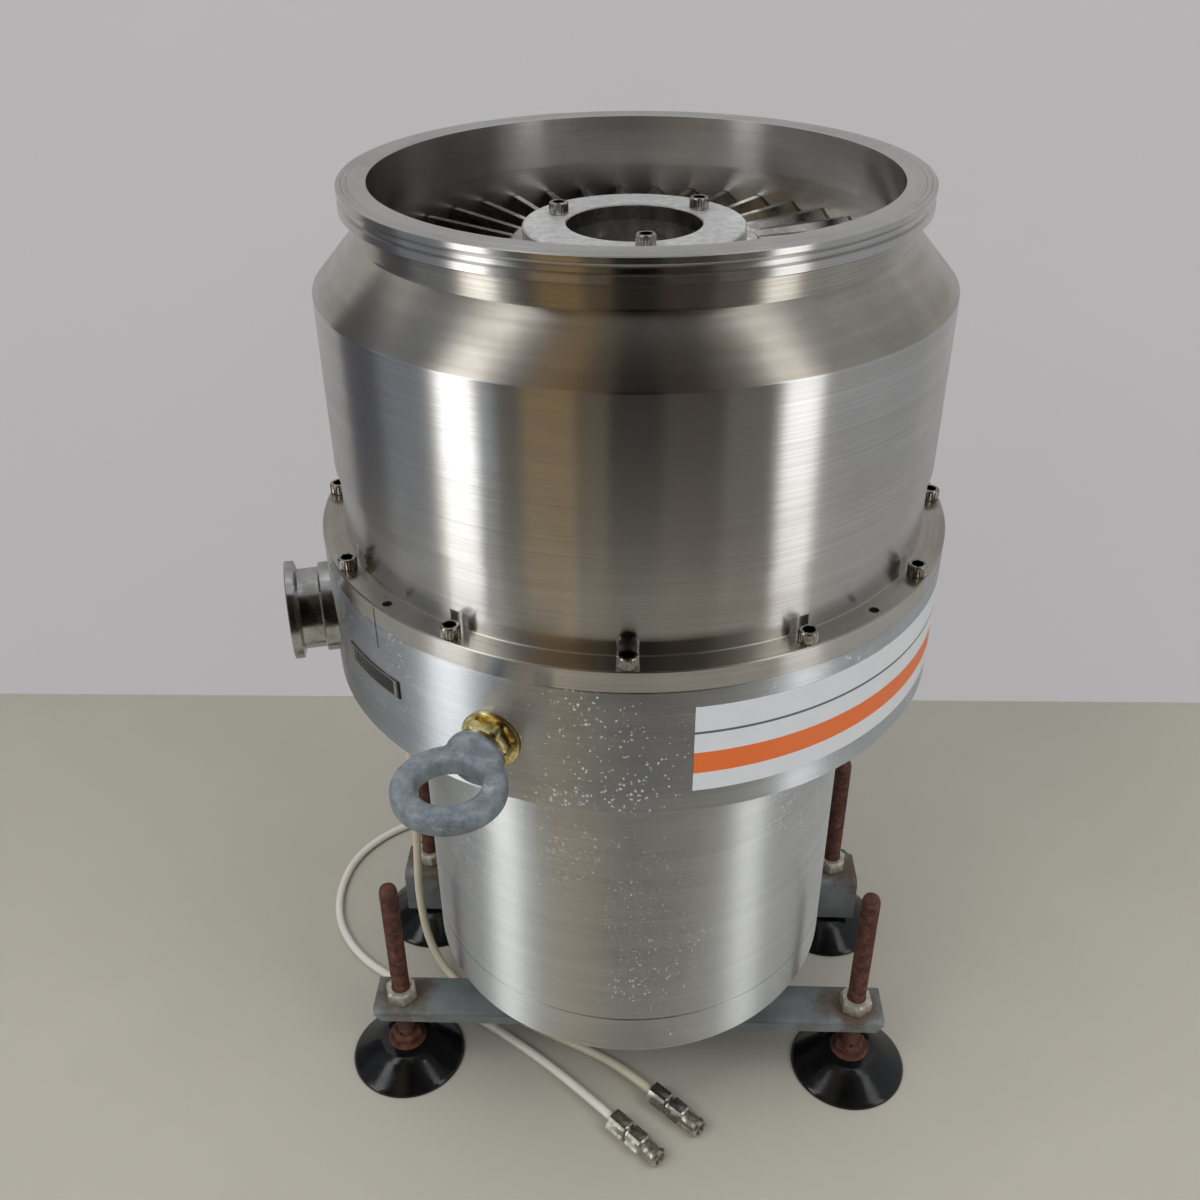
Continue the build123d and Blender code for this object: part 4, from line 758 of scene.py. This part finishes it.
class PUMP_OT_base(bpy.types.Operator):
    """Aluminium base housing, barrel and closure ring"""
    bl_idname = "pump.base"
    bl_label = "Base and Barrel"

    def execute(self, context):
        steps = context.scene.pump_sizes.turn_steps
        bm = turned([
            (148, -191), (172.7, -191), (173, -191.4), (173, -263.2), (172.2, -264), (132.9, -264),
            (132.5, -264.4), (132.5, -338.6), (132.1, -339), (120, -339), (120, -262), (52, -262),
            (52, -250), (148, -250)], steps)
        housing = mesh_object("base_shell", bm)
        port = stacked([(22.5, 120.0), (22.5, 180.0)])
        carve(housing, joined((port, [outwards(PORT_AT, WALL_MIDDLE)])))
        dress(housing, "pump", "aluminium_turned", ["base_housing"],
              ["aluminium_turned", "aluminium_barrel"], lambda r, z: 1 if z < -264.2 else 0, 20)
        barrel = turned([
            (121, -339), (130.7, -339), (131, -339.3), (131, -466.7), (130.7, -467), (121, -467)], steps)
        hole = stacked([(13.0, 110.0), (13.0, 140.0)])
        barrel_piece = mesh_object("barrel_shell", barrel)
        carve(barrel_piece, joined((hole, [outwards(90, -440)])))
        dress(barrel_piece, "pump", "aluminium_turned", ["motor_housing"], ["aluminium_barrel"], sharp=20)
        ring = turned([
            (121, -467), (130.4, -467), (130.4, -467.8), (130.8, -467.8), (131, -468.1), (131, -494.5),
            (130.3, -496.3), (128.5, -497), (0, -497), (0, -487), (121, -487)], steps)
        dress(mesh_object("barrel_ring", ring), "pump", "aluminium_turned", ["closure_ring"],
              ["aluminium_barrel"], sharp=20)
        return {"FINISHED"}


class PUMP_OT_port(bpy.types.Operator):
    """Exhaust stub with its clamp rim"""
    bl_idname = "pump.exhaust"
    bl_label = "Exhaust Port"

    def execute(self, context):
        bm = turned([
            (20.5, 159.5), (22.5, 159.5), (22.5, 166), (25, 166.2), (25, 178.4), (24.4, 179), (22.9, 179),
            (22.5, 179.5), (22.5, 190.6), (27.2, 192.0), (27.5, 193.6), (27.5, 196.6), (27.1, 197),
            (26.1, 197), (25.9, 195.2), (21.2, 195.2), (20.9, 196.8), (20.5, 196.4)], 96)
        piece = mesh_object("exhaust_stub", joined((bm, [outwards(PORT_AT, WALL_MIDDLE)])))
        dress(piece, "pump", "stainless_turned", ["exhaust_port"], ["stainless_port"])
        return {"FINISHED"}


class PUMP_OT_eye(bpy.types.Operator):
    """Forged lifting eye with its plated nut and washers"""
    bl_idname = "pump.lifting_eye"
    bl_label = "Lifting Eye"

    def execute(self, context):
        ring = bmesh.new()
        ring_r, half_wide, half_high = 21, 6, 5.6
        known = bmesh.ops.create_circle(
            ring, cap_ends=False, radius=half_wide * MM, segments=32,
            matrix=Matrix.Translation((ring_r * MM, 0, 0)) @ Matrix.Rotation(math.pi / 2, 4, "X"))
        for vert in known["verts"]:
            # the forged section is a square with well rounded corners
            across, high = (vert.co.x - ring_r * MM) / (half_wide * MM), vert.co.z / (half_wide * MM)
            swell = (across ** 4 + high ** 4) ** -0.25
            vert.co.x = (ring_r + half_wide * across * swell) * MM
            vert.co.z = half_high * high * swell * MM
        bmesh.ops.spin(ring, geom=ring.edges[:], cent=(0, 0, 0), axis=(0, 0, 1), angle=2 * math.pi,
                       steps=72, use_merge=True)
        stem = stacked([
            (5.9, 170), (5.9, 187.5), (14.2, 188), (14.9, 189),
            (14.9, 192.5), (14.2, 194), (12.8, 196), (10.5, 198.2)])
        for vert in stem.verts:
            # the collar narrows one way into the ring
            share = min(max((vert.co.z / MM - 192.6) / 4.0, 0.0), 1.0)
            vert.co.x *= 1 - 0.58 * share
        piece = mesh_object("lifting_eye_forging", joined(
            (ring, [about(EYE_AT, 214.5, WALL_MIDDLE)]), (stem, [outwards(EYE_AT, WALL_MIDDLE)])))
        blend = piece.modifiers.new("blend", "REMESH")
        blend.mode = "VOXEL"
        blend.voxel_size = context.scene.pump_sizes.eye_voxel
        smooth = piece.modifiers.new("smooth", "SMOOTH")
        smooth.factor = 0.5
        smooth.iterations = 10
        settle(piece)
        dress(piece, "pump", "galvanised_steel", ["lifting_eye"], sharp=70)
        nut = hex_nut(24.0, 9.0, 12.2, 1.6)
        inner, outer = (washer(6.1, outer_r, 0.5, 2.6, 3.0) for outer_r in (15.5, 13.5))
        piece = mesh_object("lifting_eye_nut", joined(
            (inner, [outwards(EYE_AT, WALL_MIDDLE, 173.0)]), (nut, [outwards(EYE_AT, WALL_MIDDLE, 176.0)]),
            (outer, [outwards(EYE_AT, WALL_MIDDLE, 185.0)])))
        dress(piece, "pump", "yellow_zinc", ["eye_washers"])
        return {"FINISHED"}


class PUMP_OT_hub(bpy.types.Operator):
    """Hub ring on the rotor with its three screws"""
    bl_idname = "pump.hub_ring"
    bl_label = "Hub Ring"

    def execute(self, context):
        ring = turned([
            (34.1, -33.8), (34.1, -26.4), (34.7, -25.8), (55.6, -25.8), (56.4, -26.6), (56.4, -33.8)], 120)
        dress(mesh_object("hub_cover_ring", ring), "rotor", "aluminium_turned", ["hub_ring"],
              ["hub_ring", "stainless_port"], lambda r, z: 1 if r < 34.5 else 0)
        screws = joined((cap_screw(10.0, 6.0, 5.0), [about(38 + 120 * i, 42, -25.8) for i in range(3)]))
        dress(mesh_object("hub_cover_screws", screws), "rotor", "steel_fastener", ["hub_ring_screws"])
        return {"FINISHED"}


class PUMP_OT_plates(bpy.types.Operator):
    """Printed label and blank rating plate on the housing wall"""
    bl_idname = "pump.plates"
    bl_label = "Plates"

    def execute(self, context):
        self.plate("front_label", "label_plate", 173.1, 0.3, -200.5, -250.5, -79.5, -19.0, ["label_film"])
        self.plate("alignment_line", "", 172.9, 0.18, -181.0, -205.0, -136.6, -136.4, ["scribe"])
        self.plate("blank_plate", "rating_plate", 173.1, 0.6, -218.5, -229.0, -147.5, -131.5,
                   ["black_plate", "plate_border"])
        return {"FINISHED"}

    def plate(self, name, node, radius, thickness, top, end, start, stop, finishes):
        bm = bmesh.new()
        face = outline_face(bm, [(radius, top), (radius + thickness, top), (radius + thickness, end),
                                 (radius, end)])
        bmesh.ops.spin(bm, geom=[face] + face.edges[:] + face.verts[:], cent=(0, 0, 0), axis=(0, 0, 1),
                       angle=math.radians(stop - start), steps=60)
        bmesh.ops.transform(bm, matrix=about(start), verts=bm.verts[:])
        piece = mesh_object(name, bm)
        if len(finishes) > 1:
            self.border(piece, top, end)
            dress(piece, "pump", finishes[0], [node], finishes)
            border_from, border_to = 0.84, 0.95
            rim = [max(abs(f.center.z / MM - (top + end) / 2) / ((top - end) / 2),
                       abs(math.degrees(math.atan2(f.center.y, f.center.x)) - (start + stop) / 2)
                       / ((stop - start) / 2)) for f in piece.data.polygons]
            for f, share in zip(piece.data.polygons, rim):
                f.material_index = 1 if border_from < share < border_to else 0
        else:
            dress(piece, "pump", finishes[0] if node else "black_plate", [node] if node else [], finishes)

    def border(self, piece, top, end):
        """Cuts the plate across where its printed border starts and stops."""
        bm = bmesh.new()
        bm.from_mesh(piece.data)
        for share in (0.08, 0.16, 0.84, 0.92):
            z = (end + (top - end) * share) * MM
            bmesh.ops.bisect_plane(bm, geom=bm.verts[:] + bm.edges[:] + bm.faces[:], plane_co=(0, 0, z),
                                   plane_no=(0, 0, 1))
        bm.to_mesh(piece.data)
        bm.free()


class PUMP_OT_fittings(bpy.types.Operator):
    """Compression fittings under the base"""
    bl_idname = "pump.fittings"
    bl_label = "Base Fittings"

    def execute(self, context):
        bm = stacked([
            (5.0, 256), (5.0, 264), (6.5, 264), (7, 264.8, "hex"),
            (7, 277.2, "hex"), (6.5, 278), (5, 278), (5, 280), (5.6, 280),
            (6, 280.8, "hex"), (6, 297.2, "hex"), (5.6, 298), (3.3, 298), (3.1, 296)])
        flip = Matrix.Rotation(math.pi, 4, "X")
        places = [about(170.5, 152.75) @ flip, about(105.5, 152.75) @ flip]
        dress(mesh_object("base_hose_fittings", joined((bm, places))), "pump", "fitting_steel",
              ["cooling_fittings"])
        return {"FINISHED"}


class PUMP_OT_stand(bpy.types.Operator):
    """Steel angle bars with their lock nuts"""
    bl_idname = "pump.stand"
    bl_label = "Stand"

    def execute(self, context):
        for name, node, side in (("front_angle", "front_bar", -1), ("rear_angle", "rear_bar", 1)):
            bm = bmesh.new()
            section = [(48, BAR_TOP), (82.5, BAR_TOP), (82.5, -534), (53, -534), (53, -567), (48, -567)]
            face = bm.faces.new([bm.verts.new((-ANGLE_END, side * y * MM, z * MM)) for y, z in section])
            made = bmesh.ops.extrude_face_region(bm, geom=[face])
            verts = [v for v in made["geom"] if isinstance(v, bmesh.types.BMVert)]
            bmesh.ops.translate(bm, verts=verts, vec=(2 * ANGLE_END, 0, 0))
            outer = [e for e in bm.edges if all(abs(abs(v.co.x) - ANGLE_END) < 1e-5
                     and abs(v.co.y * side - ANGLE_EDGE) < 1e-5 for v in e.verts)]
            bmesh.ops.bevel(bm, geom=outer, affect="EDGES", offset=6 * MM, segments=6, profile=0.5,
                            material=-1)
            self.round_edges(bm, side, 48, BAR_TOP, 4.0)
            self.round_edges(bm, side, 53, -534, 3.0)
            self.round_edges(bm, side, 48, -567, 1.5)
            dress(mesh_object(name, bm), "pump", "bar_paint", [node])
        places = [Matrix.Translation((x, y, BAR_TOP * MM)) @ Matrix.Rotation(turn, 4, "Z")
                  for x, y, turn in ((-ROD_X, -ROD_Y, 0.3), (ROD_X, -ROD_Y, 0.1), (-ROD_X, ROD_Y, 0.2),
                                     (ROD_X, ROD_Y, -0.2))]
        nuts = joined((hex_nut(19.0, 10.0, 12.0, 1.4), places))
        dress(mesh_object("lock_nuts", nuts), "pump", "zinc_nut", ["jam_nuts"])
        return {"FINISHED"}

    def round_edges(self, bm, side, y, z, radius):
        chosen = [e for e in bm.edges if all(abs(v.co.y * side - y * MM) < 1e-5
                  and abs(v.co.z - z * MM) < 1e-5 for v in e.verts)]
        bmesh.ops.bevel(bm, geom=chosen, affect="EDGES", offset=radius * MM, segments=4, profile=0.5,
                        material=-1)


class PUMP_OT_feet(bpy.types.Operator):
    """Levelling rods, washers and moulded pads"""
    bl_idname = "pump.feet"
    bl_label = "Feet"

    def execute(self, context):
        pitch = context.scene.pump_sizes.thread_pitch
        places = {1: (-ROD_X, -ROD_Y), 2: (ROD_X, -ROD_Y), 3: (-ROD_X, ROD_Y), 4: (ROD_X, ROD_Y)}
        for number, (x, y) in places.items():
            place = Matrix.Translation((x, y, 0)) @ Matrix.Rotation(0.4 * number, 4, "Z")
            body = f"foot_{number}"
            ridges = threaded(pitch, 11.9, 10.3, -572.5, -429.5)
            rod = turned([(0, -573), (5.2, -573), *ridges, (5.5, -429), (4.9, -427.4), (3.4, -426.4),
                          (0, -426)], 40)
            collar = hex_nut(18.0, 7.0, 11.0, 1.3)
            rod_piece = joined((rod, [place]), (collar, [place @ Matrix.Translation((0, 0, -0.5685))]))
            dress(mesh_object(f"level_rod_{number}", rod_piece), body, "rusted_steel",
                  [f"foot_rod_{number}"], sharp=40)
            ring = joined((washer(5.97, 13, 0.4, 1.1, 1.5), [place @ Matrix.Translation((0, 0, -0.57))]))
            dress(mesh_object(f"level_washer_{number}", ring), body, "zinc_nut", [f"foot_washer_{number}"],
                  ["rusted_steel"])
            pad = turned([
                (0, -573), (6.2, -573), (6.2, -570.4), (6.6, -570), (15.5, -570), (18.5, -570.8),
                (22.5, -573.0), (37.0, -583.4), (38.2, -584.8), (38.5, -585.6), (38.5, -586.5), (38, -587),
                (0, -587)], 120, 0.6, [5, 6, 7, 8])
            dress(mesh_object(f"level_pad_{number}", joined((pad, [place]))), body, "pad_plastic",
                  [f"foot_pad_{number}"], sharp=40)
        return {"FINISHED"}


class PUMP_OT_finish_nodes(bpy.types.Operator):
    """Materials for the solid model's own parts"""
    bl_idname = "pump.finish_nodes"
    bl_label = "Finish Solid Parts"

    def execute(self, context):
        slots = {row["node"]: row["material_slot"] for row in frame["record"]["subparts"]}
        for name, node in frame["nodes"].items():
            for index in range(len(node.material_slots)):
                node.material_slots[index].material = MATERIALS[slots[name]]
        return {"FINISHED"}


class PUMP_PT_panel(bpy.types.Panel):
    """Sizes, colours and steps of the pump"""
    bl_idname = "PUMP_PT_panel"
    bl_label = "Turbomolecular Pump"
    bl_space_type = "VIEW_3D"
    bl_region_type = "UI"
    bl_category = "Pump"

    def draw(self, context):
        for group in (context.scene.pump_sizes, context.scene.pump_colours):
            for key in group.bl_rna.properties.keys():
                if key not in {"rna_type", "name"}:
                    self.layout.prop(group, key)
        for step in STEPS:
            self.layout.operator(step.bl_idname)


STEPS = (PUMP_OT_stage, PUMP_OT_hoses, PUMP_OT_casing, PUMP_OT_base, PUMP_OT_port, PUMP_OT_eye,
         PUMP_OT_hub, PUMP_OT_plates, PUMP_OT_fittings, PUMP_OT_stand, PUMP_OT_feet, PUMP_OT_finish_nodes)
CLASSES = (PumpSizes, PumpColours, *STEPS, PUMP_PT_panel)


def register():
    for item in CLASSES:
        bpy.utils.register_class(item)
    bpy.types.Scene.pump_sizes = bpy.props.PointerProperty(type=PumpSizes)
    bpy.types.Scene.pump_colours = bpy.props.PointerProperty(type=PumpColours)


def unregister():
    del bpy.types.Scene.pump_colours
    del bpy.types.Scene.pump_sizes
    for item in reversed(CLASSES):
        bpy.utils.unregister_class(item)


def main():
    """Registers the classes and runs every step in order."""
    register()
    make_materials(bpy.context.scene.pump_colours)
    for step in STEPS:
        group, name = step.bl_idname.split(".")
        getattr(getattr(bpy.ops, group), name)()


if __name__ == "__main__":
    main()
